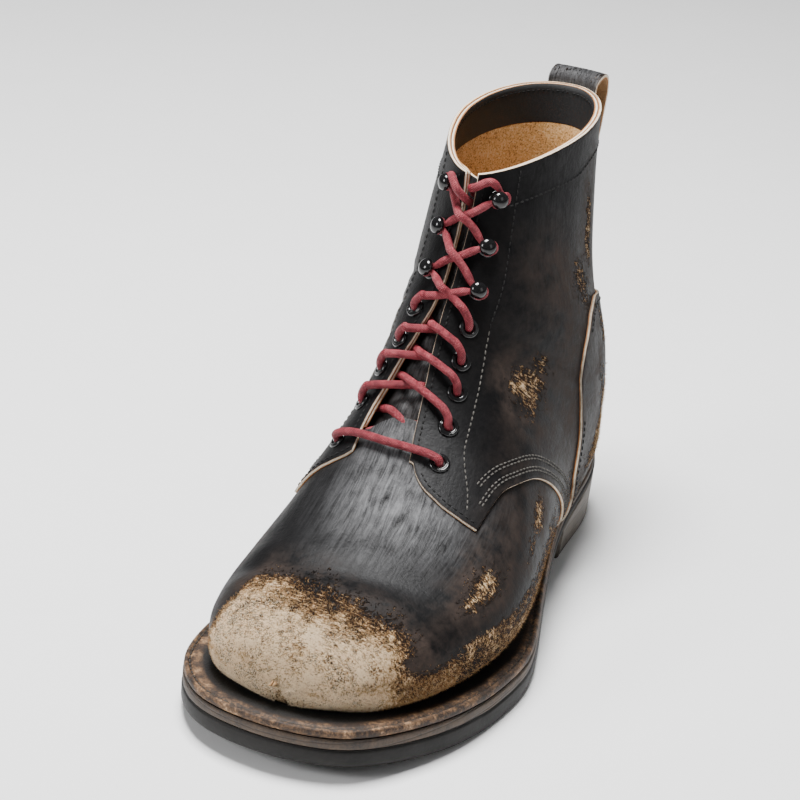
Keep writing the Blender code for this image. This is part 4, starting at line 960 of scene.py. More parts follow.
def build_sole(looks):
    """The layers from the tread up, each with rounded edges: rows are moved in near their ends."""
    build_plate("outsole_edge", edge_rows(OUTSOLE_EDGE), looks["outsole"], ("outsole",))
    build_plate("midsole_layer", edge_rows(MIDSOLE_EDGE), looks["midsole"], ("midsole",))
    build_welt(looks["welt"])
    core, board = feather(shrink=7.2), feather(shrink=1.2)
    build_plate("insole_board", [
        (core, at_level("welt_under")), (core, at_level("seat")), (board, at_level("seat")),
        (board, at_level("seat", 2.2))], looks["insole"], ("insole",))
    build_heel(looks["heel"])


WELT_STITCH_IN = 3.1       # the welt's stitches lie this far in from the sole's edge
WELT_RIM_ROW = 5           # the row of its profile where the rounded edge reaches the top


def build_welt(look):
    """The welt: rounded outer edge, a shallow stitched channel, then flat in under the leather.

    Its mark is the distance from the leather's foot as a share of the rim's, less than 0 under
    the leather.
    """
    under_foot = feather(shrink=6.0)
    profile = edge_rows(WELT_EDGE)
    profile += [(under_foot, at_level("welt_top")), (under_foot, at_level("welt_under")),
                profile[0]]
    foot = feather()
    walls = side_wall(profile)
    for which, wall in enumerate(walls):
        clear = [np.linalg.norm(row[which] - foot[which], axis=1) * (-1 if row is under_foot else 1)
                 for row, _ in profile]
        wall["marks"] = {"clear": np.concatenate([row / clear[WELT_RIM_ROW] for row in clear])}
    return piece("welt_strip", joined(walls), [look], ("welt",))


# Rings of the heel, from the floor up: how far in, share of the whole height, lift.
HEEL_RINGS = ((3.4, 0.0, 0.0), (2.2, 0.0, 0.25), (1.6, 0.0, 1.0), (1.5, 0.06, 0.0),
              (1.0, 0.35, 0.0), (0.5, 0.7, 0.0), (0.2, 1.0, -1.0), (0.5, 1.0, -0.2), (1.0, 1.0, 0.0))


def build_heel(look):
    """The stacked heel: the sole's outline behind the breast, tapering a little to the floor."""
    t = np.sin(np.linspace(0.0, PI / 2, 90))
    y = BREAST_Y + (STATION_Y[-1] - BREAST_Y) * t
    columns = np.linspace(0.0, 1.0, 25)
    across_it = columns[None, :, None]
    station = np.interp(y, STATION_Y, STATION_U)
    rings = []
    for shrink, share, lift in HEEL_RINGS:
        scale = 1.0 - shrink / HEEL_HALF_WIDTH
        back = TURN_CENTRE_Y + (y - TURN_CENTRE_Y) * (1.0 - shrink / HEEL_LENGTH)
        lateral = np.column_stack([STATION["out"](station) * scale, back])
        medial = np.column_stack([-STATION["inn"](station) * scale, back])
        lateral[-1, 0] = medial[-1, 0] = 0.0
        plan = lateral[:, None] * (1 - across_it) + medial[:, None] * across_it
        hollow = BREAST_HOLLOW * np.sin(PI * columns) * (1.0 - ease(t, 0.0, 0.35))[:, None]
        plan[..., 1] += hollow
        height = level("outsole_under", plan[..., 1]) - GAP
        rings.append(np.concatenate([plan, (height * share + lift)[..., None]], -1))
    rings = np.array(rings)
    level_quads = grid_quads(len(y), len(columns))
    parts = [shape(rings[0], level_quads[:, ::-1], 0, rings[0][..., :2] * MM),
             shape(rings[-1], level_quads, 0, rings[-1][..., :2] * MM)]
    for grid, turn in ((rings[:, :, 0], False), (rings[:, :, -1], True), (rings[:, 0], True)):
        quads = grid_quads(*grid.shape[:2])
        parts.append(shape(grid, quads[:, ::-1] if turn else quads, 0, grid[..., [1, 2]] * MM))
    return piece("heel_block", joined(parts), [look], ("heel",))


# ---- lacing --------------------------------------------------------------------------------------
LACE_R = 1.75
WRAP_R = 2.35              # radius of the lace's turn round a hook's neck
WRAP_LACE_R = 1.2          # and the squeezed lace's own radius there
OVER_HOOK_BASE = 2.9
HOOK_TURN_DEG = (-150.0, -95.0, -45.0, 0.0, 45.0, 95.0, 150.0)
TOP_TURN_DEG = (-150.0, -95.0, -45.0)           # up to where the free end takes over
END_TURN_DEG = (-20.0, 20.0, 60.0, 100.0, 140.0, 175.0)
SIDES = {"lateral": 1.0, "medial": -1.0}
# The rest of each free end: distance down from the collar, distance from the top line, height.
LATERAL_END = ((3.0, 6.6, 3.2), (4.3, 2.9, 2.4), (5.5, 0.8, 1.7), (6.3, 0.0, -1.5), (7.2, 0.0, -3.8),
               (8.8, 0.0, -4.6))
MEDIAL_END = ((2.6, 6.4, 4.6), (4.0, 3.4, 6.2), (7.2, 1.7, 5.8), (10.4, 0.5, 2.6), (12.0, 0.0, -1.5),
              (13.4, 0.0, -4.2), (19.0, 0.0, -4.4))


def spot(u, distance, height):
    """A point this far from the top line (+ lateral, - medial) and this high off the leather."""
    side = -1.0 if distance < 0.0 else 1.0
    return offset(u, across(u, abs(distance), side), height)


def smooth(points, steps):
    """The path through the points, rounded: a cubic with free ends, by equal parameter steps."""
    points = np.asarray(points, float)
    t = np.linspace(0.0, len(points) - 1.0, steps * (len(points) - 1) + 1)
    return np.column_stack([cubic(points[:, k])(t) for k in range(points.shape[1])])


LINES = np.linspace(5.0, COLLAR, 281)
RUN = run_of(leather(LINES, np.zeros_like(LINES)))


def up_from(u, steps):
    """The section this many mm further up the top line."""
    return float(np.interp(np.interp(u, LINES, RUN) + steps, RUN, LINES))


def place_of(kind, side):
    """Section of a lacing point and its distance from the top line."""
    row = LACING[kind]
    return (row[1], row[2]) if side > 0 else (row[3], row[4])


def lace_route(side):
    """Points of one lace from the middle of the bottom bar up to its top hook.

    Each point is a spot: out of an eyelet, over its facing, across the gap, under the other
    facing and up through the next eyelet; from the first hook on it crosses over both facings
    and goes round the outside of each hook's neck.
    """
    middle = (place_of(0, 1.0)[0] + place_of(0, -1.0)[0]) / 2 - 0.13
    u, half = place_of(0, side)
    rows = [spot(middle, 0.0, 3.0),
            spot(middle + (u - middle) * 0.5, side * half * 0.5, 3.2),
            spot(middle + (u - middle) * 0.82, side * (half - 4.5), 4.3),
            spot(u, side * (half - 0.9), 3.5), spot(u, side * half, 0.6),
            spot(u, side * half, -3.4)]
    for kind in range(len(LACING) - 1):
        (u, half), (ut, halft) = place_of(kind, side), place_of(kind + 1, -side)
        over = side > 0
        span = half + halft

        def at(distance, height, bow=0.0):
            """A spot on the straight way to the next point, moved up the throat by bow mm."""
            share = (half - distance) / span
            return spot(up_from(u + (ut - u) * share, bow), side * distance, height)
        gap_here = float(through(u, *np.array(THROAT)[:, [0, 1 if side > 0 else 2]].T))
        gap_there = float(through(ut, *np.array(THROAT)[:, [0, 2 if side > 0 else 1]].T))
        if kind == 0:
            rows += [at(gap_here + 3.0, -4.6), at(gap_here - 2.0, -4.0),
                     at(-1.0, -1.3 if over else -4.7), at(-gap_there + 2.0, -4.2)]
        elif kind < EYELETS:
            rows += [at(half - 1.3, 3.3, 1.0), at(half - 4.2, 5.0, 1.6),
                     at((half + gap_here) / 2 - 1.0, 4.6, 1.4), at(gap_here, 3.2, 0.8)]
            if kind < EYELETS - 1:
                rows += [at(-0.5, 1.2 if over else -2.2), at(-gap_there + 1.0, -3.6),
                         at(-gap_there - 3.0, -4.6)]
        if kind >= EYELETS:
            rows += [at(half - 6.5, 3.1)]
        if kind >= EYELETS - 1:
            rows += [at(0.0, 6.2 if over else 2.7), at(6.5 - halft, 3.4)]
            rows += hook_turn(kind + 1, -side)
        else:
            rows += [spot(ut, -side * (halft - 0.3), -3.6), spot(ut, -side * halft, 0.6)]
        side = -side
    return smooth(np.array(rows), 8)


def hook_turn(kind, side):
    """Points round a hook's neck from below, past its outer side, to above it."""
    u, half = place_of(kind, side)
    angles = TOP_TURN_DEG if kind == len(LACING) - 1 else HOOK_TURN_DEG
    return [spot(up_from(u, WRAP_R * math.sin(math.radians(a))),
                 side * (half + WRAP_R * math.cos(math.radians(a))), OVER_HOOK_BASE)
            for a in angles]


def end_route(side):
    """The free end's own line: round its top hook, across to the throat and in behind it."""
    lines = np.linspace(14.0, COLLAR, 101)
    below = run_of(leather(lines, np.zeros_like(lines)))
    below = below[-1] - below
    u, half = place_of(len(LACING) - 1, side)
    drop = float(np.interp(u, lines, below))
    tail = LATERAL_END if side > 0 else MEDIAL_END
    rows = [(drop + WRAP_R * math.cos(a), half + WRAP_R * math.sin(a), OVER_HOOK_BASE)
            for a in np.radians(END_TURN_DEG)] + list(tail)
    return smooth([spot(float(np.interp(-t, -below, lines)), side * d, h) for t, d, h in rows], 6)


def lace_size(path):
    """The lace's radius along a path: squeezed where it turns tightly round a hook's neck."""
    necks = [spot(place_of(kind, side)[0], side * place_of(kind, side)[1], OVER_HOOK_BASE)
             for kind in range(EYELETS, len(LACING)) for side in (1.0, -1.0)]
    away = np.min([np.linalg.norm(path - neck, axis=1) for neck in necks], axis=0)
    return WRAP_LACE_R + (LACE_R - WRAP_LACE_R) * ease(away, WRAP_R + 0.5, WRAP_R + 5.0)


def build_laces(look):
    """The lace as one cord through all its points, and its two free ends as cords of their own."""
    routes = [lace_route(side) for side in (1.0, -1.0)]
    whole = np.concatenate([routes[1][::-1], routes[0][1:]])
    forms = tube(whole, lace_size(whole), 14)
    nodes = ["lace_bar"] + [f"lace_cross_{k}" for k in range(1, 8)]
    piece("lace", forms, [look], nodes)
    for word, side in SIDES.items():
        path = end_route(side)
        made = piece(f"lace_end_cord_{word}", tube(path, lace_size(path), 16), [look],
                     (f"lace_end_{word}",))
        line = (path - MIDDLE) * MM
        length = float(np.linalg.norm(np.diff(line, axis=0), axis=1).sum())


# Profiles of the fittings: radius and height, from the underside to the top.
EYELET = ((2.25, -3.0), (2.25, 0.35), (2.45, 0.85), (2.85, 1.12), (3.2, 1.1), (3.35, 0.95),
          (3.5, 1.05), (3.9, 1.0), (4.3, 0.65), (4.5, 0.15), (4.4, -0.2), (2.9, -0.3), (2.9, -3.0),
          (2.25, -3.0))
EYELET_LOOKS = (1, 0, 0, 0, 0, 0, 0, 0, 0, 0, 0, 1, 1)
HOOK_BASE = ((0.0, -0.3), (3.9, -0.3), (4.15, 0.0), (4.1, 0.35), (3.7, 0.75), (3.0, 0.95),
             (2.2, 1.1), (0.0, 1.15))
HOOK_HEAD = ((0.0, 3.3), (2.2, 3.3), (3.1, 3.4), (3.6, 3.75), (3.75, 4.3), (3.65, 4.95),
             (3.3, 5.6), (2.65, 6.15), (1.8, 6.55), (0.9, 6.75), (0.0, 6.8))
HOOK_NECK_R = 1.15
HOOK_LEAN = -0.7           # the head leans a little towards the throat


def build_fittings(looks):
    """Rolled eyelets with a bright barrel, and hooks with a low domed head on a riveted base."""
    for kind, row in enumerate(LACING):
        for word, side in SIDES.items():
            u, half = place_of(kind, side)
            s = across(u, half, side)
            axis = normal(u, s)
            centre = offset(u, s, QUARTER_LIFT)
            name = f"{row[0]}_{word}"
            if kind < EYELETS:
                form = turned_form(EYELET, centre, axis, 32, EYELET_LOOKS)
            else:
                lean = leather(u, s + side * 0.01) - leather(u, s - side * 0.01)
                lean = (lean - axis * (lean @ axis)) / np.linalg.norm(lean) * HOOK_LEAN
                rise = np.linspace(0.6, 4.2, 8)[:, None]
                bend = lean * ease(rise, 0.8, 4.2)
                form = joined([turned_form(HOOK_BASE, centre, axis, 28),
                               tube(centre + axis * rise + bend, HOOK_NECK_R, 14),
                               turned_form(HOOK_HEAD, centre + lean, axis, 28)])
            piece(name + "_fitting", form, looks, (name,))


# ---- stitches and fibres -------------------------------------------------------------------------
STITCH_PITCH = 2.7
STITCH_HALF = 1.02
STITCH_R = 0.36


def stitches(points, normals, pitch=STITCH_PITCH, half=STITCH_HALF, radius=STITCH_R, sink=0.12):
    """Separate thread stitches along a dense line of points, each a bent grain of 24 faces.

    Each is thickest in its middle and comes to a point at both ends, which sink in.  One that
    has no clear direction, where the line's first or last points coincide, is left out.
    """
    run = run_of(points)
    count = max(int(run[-1] / pitch), 1)
    middle = (np.arange(count) + 0.5) * run[-1] / count

    def at(distance, values):
        """Values given at the line's points, read this far along it."""
        return np.stack([np.interp(distance, run, values[:, k]) for k in range(3)], -1)
    share = np.array((-1.0, -0.72, 0.0, 0.72, 1.0))
    width = np.array((0.0, 0.82, 1.0, 0.82, 0.0)) * radius
    where = np.clip(middle[:, None] + share[None] * half, 0.0, run[-1])
    centre, up = at(where, points), at(where, normals)
    before, after = (np.clip(where + step, 0, run[-1]) for step in (-0.3, 0.3))
    ahead = at(after, points) - at(before, points)
    third = np.cross(ahead, up)
    third /= np.linalg.norm(third, axis=-1, keepdims=True)
    sound = np.isfinite(third + centre + up).all(axis=(1, 2))
    where, centre, up, third = where[sound], centre[sound], up[sound], third[sound]
    count = len(where)
    centre = centre + up * (radius * 0.25 - sink * share ** 2)[None, :, None]
    angle = np.linspace(0.0, 2 * PI, 7)
    ring = (third[:, :, None] * np.cos(angle)[None, None, :, None]
            + up[:, :, None] * np.sin(angle)[None, None, :, None])
    grid = centre[:, :, None] + ring * width[None, :, None, None]
    quads = (grid_quads(5, 7)[None] + (np.arange(count) * 35)[:, None, None]).reshape(-1, 4)
    uv = np.broadcast_to(np.stack([where * MM, where * 0.0], -1)[:, :, None], grid.shape[:3] + (2,))
    return shape(grid, quads, 0, uv)


LINE_STEPS = 400


def line_on(u, v):
    """A dense line on the leather through a table's (section, v) points; v is 1 less |s|."""
    at = np.arange(len(u))
    t = np.linspace(0.0, len(u) - 1.0, LINE_STEPS)
    return through(t, at, u), through(t, at, v)


def beside(u, s, distance):
    """The line this many mm beside a line on the leather, to the left of the way it runs.

    The step to the left is solved for steps of u and s from the leather's own slopes.
    """
    point = leather(u, s)
    e = 0.01
    pu = (leather(u + e, s) - leather(u - e, s)) / (2 * e)
    ps = (leather(u, s + e) - leather(u, s - e)) / (2 * e)
    ahead = np.gradient(point, axis=0)
    left = np.cross(normal(u, s), ahead)
    left *= distance / np.maximum(np.linalg.norm(left, axis=-1, keepdims=True), 1e-9)
    uu, us, ss = (np.einsum("ij,ij->i", a, b) for a, b in ((pu, pu), (pu, ps), (ps, ps)))
    lu, ls = np.einsum("ij,ij->i", left, pu), np.einsum("ij,ij->i", left, ps)
    det = uu * ss - us * us
    return u + (lu * ss - ls * us) / det, s + (ls * uu - lu * us) / det


def row_at(u, s, lift):
    """A row of stitches along a line on the leather, at this height."""
    return stitches(over(u, s, np.full(np.shape(u), lift)), normal(u, s))


COLLAR_ROW_DOWN = 3.0      # a fine row inside the collar, this far below its rim
COLLAR_STITCH = (2.2, 0.85, 0.3, 0.1)       # its pitch, half length, radius and sink
ARCH_ROWS = (3.3, 4.8, 8.4, 9.9)     # stitch rows this far in from the arch's edge
EDGE_ROW_IN = 2.3          # the row along the vamp's side of a quarter and along its facing
MEDIAL_ROW_IN = 3.0        # the same along the medial facing
COUNTER_ROW_IN = 3.0
STAY_DARK = 180            # steps of the row outside the fittings that are in dark thread
COUNTER_ROW_END = -12      # the counter's rows stop this many points before its corner
# The row outside the fittings: section and v on each side.
STAY_OUT = ((18.87, 0.779), (16.62, 0.799), (12.80, 0.839), (11.72, 0.844), (9.02, 0.831),
            (7.42, 0.834), (6.54, 0.801), (6.26, 0.791))
STAY_IN = ((18.9, 0.770), (16.8, 0.790), (13.6, 0.812), (11.6, 0.818), (9.6, 0.808), (8.0, 0.775),
           (7.2, 0.745))
# The seam of the top band: section and v.
BAND_SEAM = ((17.45, 0.815), (17.57, 0.784), (17.90, 0.659), (18.05, 0.531), (18.28, 0.404),
             (18.34, 0.20), (18.34, 0.06))


def build_stitches(looks):
    """All the rows of thread on the leather: dark, and grey (look 1) round the quarters' fronts."""
    rows, grey = [], []
    top, counter_top = QUARTER_LIFT + ON_FACE, COUNTER_LIFT + ON_FACE
    for side, front, stay in ((1.0, FRONT_OUT, STAY_OUT), (-1.0, FRONT_IN, STAY_IN)):
        s = np.linspace(front[FRONT_TIP][0], 0.93, 500)
        for inward in ARCH_ROWS:
            start = 6 if inward < 5 else 12
            u, at_s = beside(front_edge(s, side), side * s, inward * side)
            grey.append(row_at(u[start:], at_s[start:], top))
        s = np.linspace(front[0][0] + 0.012, front[FRONT_TIP][0] - 0.01, 160)
        u, at_s = beside(front_edge(s, side), side * s, EDGE_ROW_IN * side)
        rows.append(row_at(u, at_s, top))
        u = np.linspace(front[0][1] + 0.25, COLLAR - 0.15, 500)
        inward = EDGE_ROW_IN if side > 0 else MEDIAL_ROW_IN
        u, at_s = beside(u, side * throat_edge(u, side), -inward * side)
        rows.append(row_at(u, at_s, top))
        u, v = line_on(*zip(*stay))
        rows.append(row_at(u[:STAY_DARK], side * (1.0 - v[:STAY_DARK]), top))
        grey.append(row_at(u[STAY_DARK:], side * (1.0 - v[STAY_DARK:]), top))
        u, v = line_on(*zip(*BAND_SEAM))
        rows.append(row_at(u, side * (1.0 - v), top))
        v = np.linspace(0.0, COUNTER_TOP - 0.01, 240)
        share, edge, above = (np.array(c) for c in zip(*COUNTER_EDGE))
        for line, inward in ((edge, -COUNTER_ROW_IN), (above, COUNTER_ROW_IN)):
            u, at_s = beside(through(v, share, line), side * (1.0 - v), inward * side)
            rows.append(row_at(u[:COUNTER_ROW_END], at_s[:COUNTER_ROW_END], counter_top))
        s = side * np.linspace(float(throat_edge(COLLAR, side)) + 0.02, 0.995, 400)
        u, at_s = beside(np.full(s.shape, COLLAR), s, -COLLAR_ROW_DOWN * side)
        rows.append(stitches(offset(u, at_s, np.full(s.shape, LINING_UNDER)), -normal(u, at_s),
                             *COLLAR_STITCH))
    for row in grey:
        row["looks"] = np.ones(len(row["quads"]), int)
    return piece("stitches", joined(rows + grey), looks)


WELT_STITCH = (3.4, 1.45, 0.42, 0.1)        # pitch, half length, radius and sink
WELT_STITCH_DOWN = 0.62    # the middle of the stitches below the welt's top


def build_welt_stitches(looks):
    """Heavier stitches in the welt's channel, all round its outside."""
    rows = []
    for line in outline(400, WELT_STITCH_IN):
        points = np.column_stack([line, level("welt_top", line[:, 1]) - WELT_STITCH_DOWN])[6:-6]
        rows.append(stitches(points, np.broadcast_to((0.0, 0.0, 1.0), points.shape),
                             *WELT_STITCH))
    return piece("welt_stitches", joined(rows), looks)


FIBRES = 42000             # the most that there can be
COUNTER_FROM = 10.0        # fibres behind this section stand on the heel counter


def build_fibres(looks):
    """Short loose fibres on the bare suede and its frayed edge: each a thin four-faced spike.

    They are strewn over the leather, kept where it is worn enough, and lean at random.
    """
    random = np.random.default_rng(7)
    u = np.concatenate([random.uniform(0.15, 4.2, FIBRES * 3), random.uniform(4.2, 9.0, FIBRES),
                        random.uniform(10.4, 14.8, FIBRES)])
    s = random.uniform(-0.98, 0.98, len(u))
    behind = u > COUNTER_FROM
    s = np.where(behind, np.where(s < 0.0, -1.0, 1.0) * (1.0 - 0.42 * np.abs(s)), s)
    worn = scuff(u, s)
    keep = (worn > random.uniform(0.40, 0.75, len(u))) & ((np.abs(s) < 0.96) | behind)
    keep = np.flatnonzero(keep & (random.uniform(0.0, 1.0, len(u)) < u))
    keep = keep[random.permutation(len(keep))[:FIBRES]]
    u, s, worn = u[keep], s[keep], worn[keep]
    lift = np.where(u > COUNTER_FROM, COUNTER_LIFT, VAMP_LIFT) - ON_FACE
    base, up = over(u, s, lift), normal(u, s)
    tilt = random.normal(0.0, 0.75, base.shape)
    way = up + tilt - up * np.einsum("ij,ij->i", tilt, up)[:, None]
    way /= np.linalg.norm(way, axis=1, keepdims=True)
    side = np.cross(way, up + 0.31)
    side /= np.linalg.norm(side, axis=1, keepdims=True)
    third = np.cross(way, side)
    long = random.uniform(0.5, 1.7, len(u))[:, None] * (0.75 + 0.5 * (1 - worn[:, None]))
    thick = random.uniform(0.06, 0.12, len(u))[:, None]
    corners = [base + thick * (side * math.cos(a) + third * math.sin(a))
               for a in (0.0, 2.094, 4.189)]
    grid = np.stack(corners + [base + way * long], 1)
    quads = [(0, 1, 3, 3), (1, 2, 3, 3), (2, 0, 3, 3), (0, 2, 1, 1)]
    quads = (np.array(quads)[None] + (np.arange(len(u)) * 4)[:, None, None]).reshape(-1, 4)
    marks = {"scuff": np.repeat(worn, 4)}
    return piece("suede_fibres", shape(grid, quads, 0, None, marks), looks)


# ---- looks ---------------------------------------------------------------------------------------
class Look:
    """A material's nodes: one Principled shader and short names for the nodes that feed it."""

    def __init__(self, name):
        self.material = bpy.data.materials.new(name)
        self.material.use_nodes = True
        self.nodes = self.material.node_tree.nodes
        self.links = self.material.node_tree.links
        self.nodes.clear()
        self.shader = self.nodes.new("ShaderNodeBsdfPrincipled")
        out = self.nodes.new("ShaderNodeOutputMaterial")
        self.links.new(self.shader.outputs["BSDF"], out.inputs["Surface"])

    def put(self, socket, value):
        """A link, a colour or a number into a socket."""
        if isinstance(value, bpy.types.NodeSocket):
            self.links.new(value, socket)
        elif isinstance(value, (tuple, list)):
            socket.default_value = tuple(value) + (1.0,) * (len(socket.default_value) - len(value))
        else:
            socket.default_value = value

    def sum(self, kind, a, b=0.0):
        """One step of arithmetic."""
        node = self.nodes.new("ShaderNodeMath")
        node.operation = kind
        self.put(node.inputs[0], a)
        self.put(node.inputs[1], b)
        return node.outputs[0]

    def plus(self, *terms):
        """All the terms added up."""
        total = terms[0]
        for term in terms[1:]:
            total = self.sum("ADD", total, term)
        return total

    def times(self, a, b):
        """a times b."""
        return self.sum("MULTIPLY", a, b)

    def spread(self, value, low, high):
        """value's range low to high stretched to 0 to 1, and level beyond."""
        node = self.nodes.new("ShaderNodeMapRange")
        node.clamp = True
        self.put(node.inputs["Value"], value)
        node.inputs["From Min"].default_value = low
        node.inputs["From Max"].default_value = high
        return node.outputs["Result"]

    def mark(self, name):
        """A field of wear that the mesh carries."""
        node = self.nodes.new("ShaderNodeAttribute")
        node.attribute_name = name
        return node.outputs["Fac"]

    def place(self):
        """The point on the boot, in metres."""
        return self.nodes.new("ShaderNodeTexCoord").outputs["Object"]

    def flat(self):
        """The piece's own flat coordinates."""
        node = self.nodes.new("ShaderNodeUVMap")
        node.uv_map = "lay"
        return node.outputs["UV"]

    def scaled(self, vector, *by):
        """A vector stretched along its axes."""
        node = self.nodes.new("ShaderNodeMapping")
        self.links.new(vector, node.inputs["Vector"])
        node.inputs["Scale"].default_value = by
        return node.outputs["Vector"]

    def parts(self, vector):
        """The three numbers of a vector."""
        node = self.nodes.new("ShaderNodeSeparateXYZ")
        self.links.new(vector, node.inputs[0])
        return node.outputs

    def noise(self, scale, detail=3.0, rough=0.5, vector=None, twist=0.0):
        """Cloud noise; scale is in cells to the metre."""
        node = self.nodes.new("ShaderNodeTexNoise")
        self.links.new(self.place() if vector is None else vector, node.inputs["Vector"])
        node.inputs["Scale"].default_value = scale
        node.inputs["Detail"].default_value = detail
        node.inputs["Roughness"].default_value = rough
        node.inputs["Distortion"].default_value = twist
        return node.outputs["Fac"]

    def cells(self, scale):
        """Distance from the middle of the nearest cell of a grain; scale is as for noise."""
        node = self.nodes.new("ShaderNodeTexVoronoi")
        node.feature = "F1"
        self.links.new(self.place(), node.inputs["Vector"])
        node.inputs["Scale"].default_value = scale
        return node.outputs["Distance"]

    def mix(self, share, a, b):
        """Colour a where share is 0, b where it is 1."""
        node = self.nodes.new("ShaderNodeMix")
        node.data_type = "RGBA"
        self.put(node.inputs[0], share)
        self.put(node.inputs[6], a)
        self.put(node.inputs[7], b)
        return node.outputs[2]

    def ramp(self, value, *stops):
        """Colour along a value; each stop is (position, (r, g, b))."""
        node = self.nodes.new("ShaderNodeValToRGB")
        self.put(node.inputs[0], value)
        steps = node.color_ramp.elements
        while len(steps) < len(stops):
            steps.new(0.5)
        for step, (where, colour) in zip(steps, stops):
            step.position = where
            step.color = tuple(colour) + (1.0,)
        return node.outputs[0]

    def bump(self, height, distance, strength=1.0, under=None):
        """Bump whose height of 1 is this many metres."""
        node = self.nodes.new("ShaderNodeBump")
        node.inputs["Distance"].default_value = distance
        node.inputs["Strength"].default_value = strength
        self.put(node.inputs["Height"], height)
        if under is not None:
            self.links.new(under, node.inputs["Normal"])
        return node.outputs["Normal"]

    def done(self, colour, roughness, normal=None, **constants):
        """The finished material; constants are named after the shader's own sockets."""
        self.put(self.shader.inputs["Base Color"], colour)
        self.put(self.shader.inputs["Roughness"], roughness)
        if normal is not None:
            self.links.new(normal, self.shader.inputs["Normal"])
        for name, value in constants.items():
            self.put(self.shader.inputs[name.replace("_", " ")], value)
        return self.material


BLACK = (0.0032, 0.0031, 0.0033)
# Grey of rubbed polish, brightened into a painted sheen.
POLISH_AND_SHEEN = (0.155, 0.155, 0.16)
DIRT = (0.044, 0.031, 0.025)
# Darkest suede: real dark wear at the fringe and painted shade in the gaps between tufts.
SOOT_AND_GAP_SHADE = (0.030, 0.019, 0.013)
FRINGE = (0.30, 0.155, 0.062)
TAN = (0.50, 0.315, 0.16)
CREAM = (0.86, 0.63, 0.37)
PALE = (0.99, 0.81, 0.575)
EDGE = (0.80, 0.74, 0.63)


def worn_leather(name):
    """Black grain leather that wears to a brown haze, an orange fringe and cream suede, with a painted
    grey sheen where it is rubbed and painted shade in the suede's gaps.
    """
    look = Look(name)
    broad, blotch = look.noise(45, 3, 0.55), look.noise(140, 4, 0.6)
    fine, speck = look.noise(420, 4, 0.6), look.noise(1150, 3, 0.65, None, 1.2)
    hair = look.noise(470, 5, 0.74, None, 1.8)
    streaks = look.noise(1.0, 4, 0.6, look.scaled(look.flat(), 900, 75, 1), 1.6)
    tufts = look.noise(1.0, 3, 0.6, look.scaled(look.flat(), 900, 420, 1), 1.0)
    worn = look.plus(look.mark("scuff"), look.times(look.sum("SUBTRACT", broad, 0.5), 0.30),
                     look.times(look.sum("SUBTRACT", blotch, 0.5), 0.45),
                     look.times(look.sum("SUBTRACT", tufts, 0.5), 1.15),
                     look.times(look.sum("SUBTRACT", speck, 0.5), 0.30))
    haze = look.times(look.mark("haze"), look.spread(look.plus(broad, look.times(blotch, 0.8),
                                                               look.times(fine, 0.5)), 0.95, 1.45))
    # Rubbed grey polish and a painted sheen, strongest on the vamp's top.
    polish_and_sheen = look.times(look.mark("rub"),
                        look.spread(look.plus(look.times(streaks, 0.8), look.times(blotch, 0.4)),
                                    0.42, 0.80))
    black = look.mix(look.spread(fine, 0.3, 0.8), BLACK, (0.0055, 0.0052, 0.0056))
    face = look.mix(haze, look.mix(polish_and_sheen, black, POLISH_AND_SHEEN), DIRT)
    nap = look.noise(1.0, 3, 0.65, look.scaled(look.flat(), 520, 1500, 1), 1.2)
    tuft = look.spread(look.plus(look.times(hair, 0.30), look.times(nap, 0.55),
                                 look.times(speck, 0.15)), 0.40, 0.60)
    # The suede's dark end is partly the fringe's real dark wear and partly painted shade in the gaps
    # between tufts and clumps.
    shade = look.plus(look.times(tuft, 1.30), look.times(look.mark("scuff"), 1.30),
                      look.times(look.sum("SUBTRACT", blotch, 0.5), 2.4),
                      look.times(look.sum("SUBTRACT", broad, 0.5), 1.2),
                      look.times(look.sum("SUBTRACT", fine, 0.5), 1.5), -1.42)
    suede = look.ramp(shade, (0.0, SOOT_AND_GAP_SHADE), (0.10, (0.10, 0.056, 0.03)), (0.24, FRINGE),
                      (0.42, TAN), (0.66, CREAM), (0.98, PALE))
    bare = look.spread(worn, 0.40, 0.50)
    colour = look.mix(bare, face, suede)
    rough = look.plus(look.times(bare, 0.4), look.times(haze, 0.35), 0.42,
                      look.times(fine, 0.16), look.times(look.mark("rub"), -0.12))
    grain = look.cells(900)
    coarse = look.bump(look.plus(look.times(blotch, 0.5), look.times(fine, 0.5)), 0.0005, 0.7)
    folds = look.noise(1.0, 5, 0.65, look.scaled(look.flat(), 330, 240, 1), 2.2)
    rubbed = look.times(look.plus(look.times(streaks, 0.45), look.times(folds, 0.8)),
                        look.plus(look.mark("rub"), 0.10))
    wrinkle = look.bump(rubbed, 0.0010, 0.8, coarse)
    skin = look.bump(look.plus(look.times(grain, 0.5), look.times(speck, 0.35)), 0.00011, 0.8,
                     wrinkle)
    lifted = look.plus(look.times(hair, 0.9), look.times(nap, 1.2), look.times(blotch, 0.6),
                       look.times(speck, 0.4))
    rough_nap = look.bump(look.times(lifted, bare), 0.0024, 1.0, skin)
    return look.done(colour, rough, rough_nap, Specular_IOR_Level=0.11)


def suede_fibres(name):
    """Loose fibres: brown in the fringe, pale where the suede is fully bare."""
    look = Look(name)
    mottle = look.noise(700, 3, 0.6)
    shade = look.plus(look.mark("scuff"), look.times(look.sum("SUBTRACT", mottle, 0.5), 1.3))
    colour = look.ramp(shade, (0.20, (0.06, 0.032, 0.016)), (0.50, (0.34, 0.17, 0.065)),
                       (0.76, (0.62, 0.41, 0.21)), (0.95, PALE))
    return look.done(colour, 0.9, None, Specular_IOR_Level=0.2)


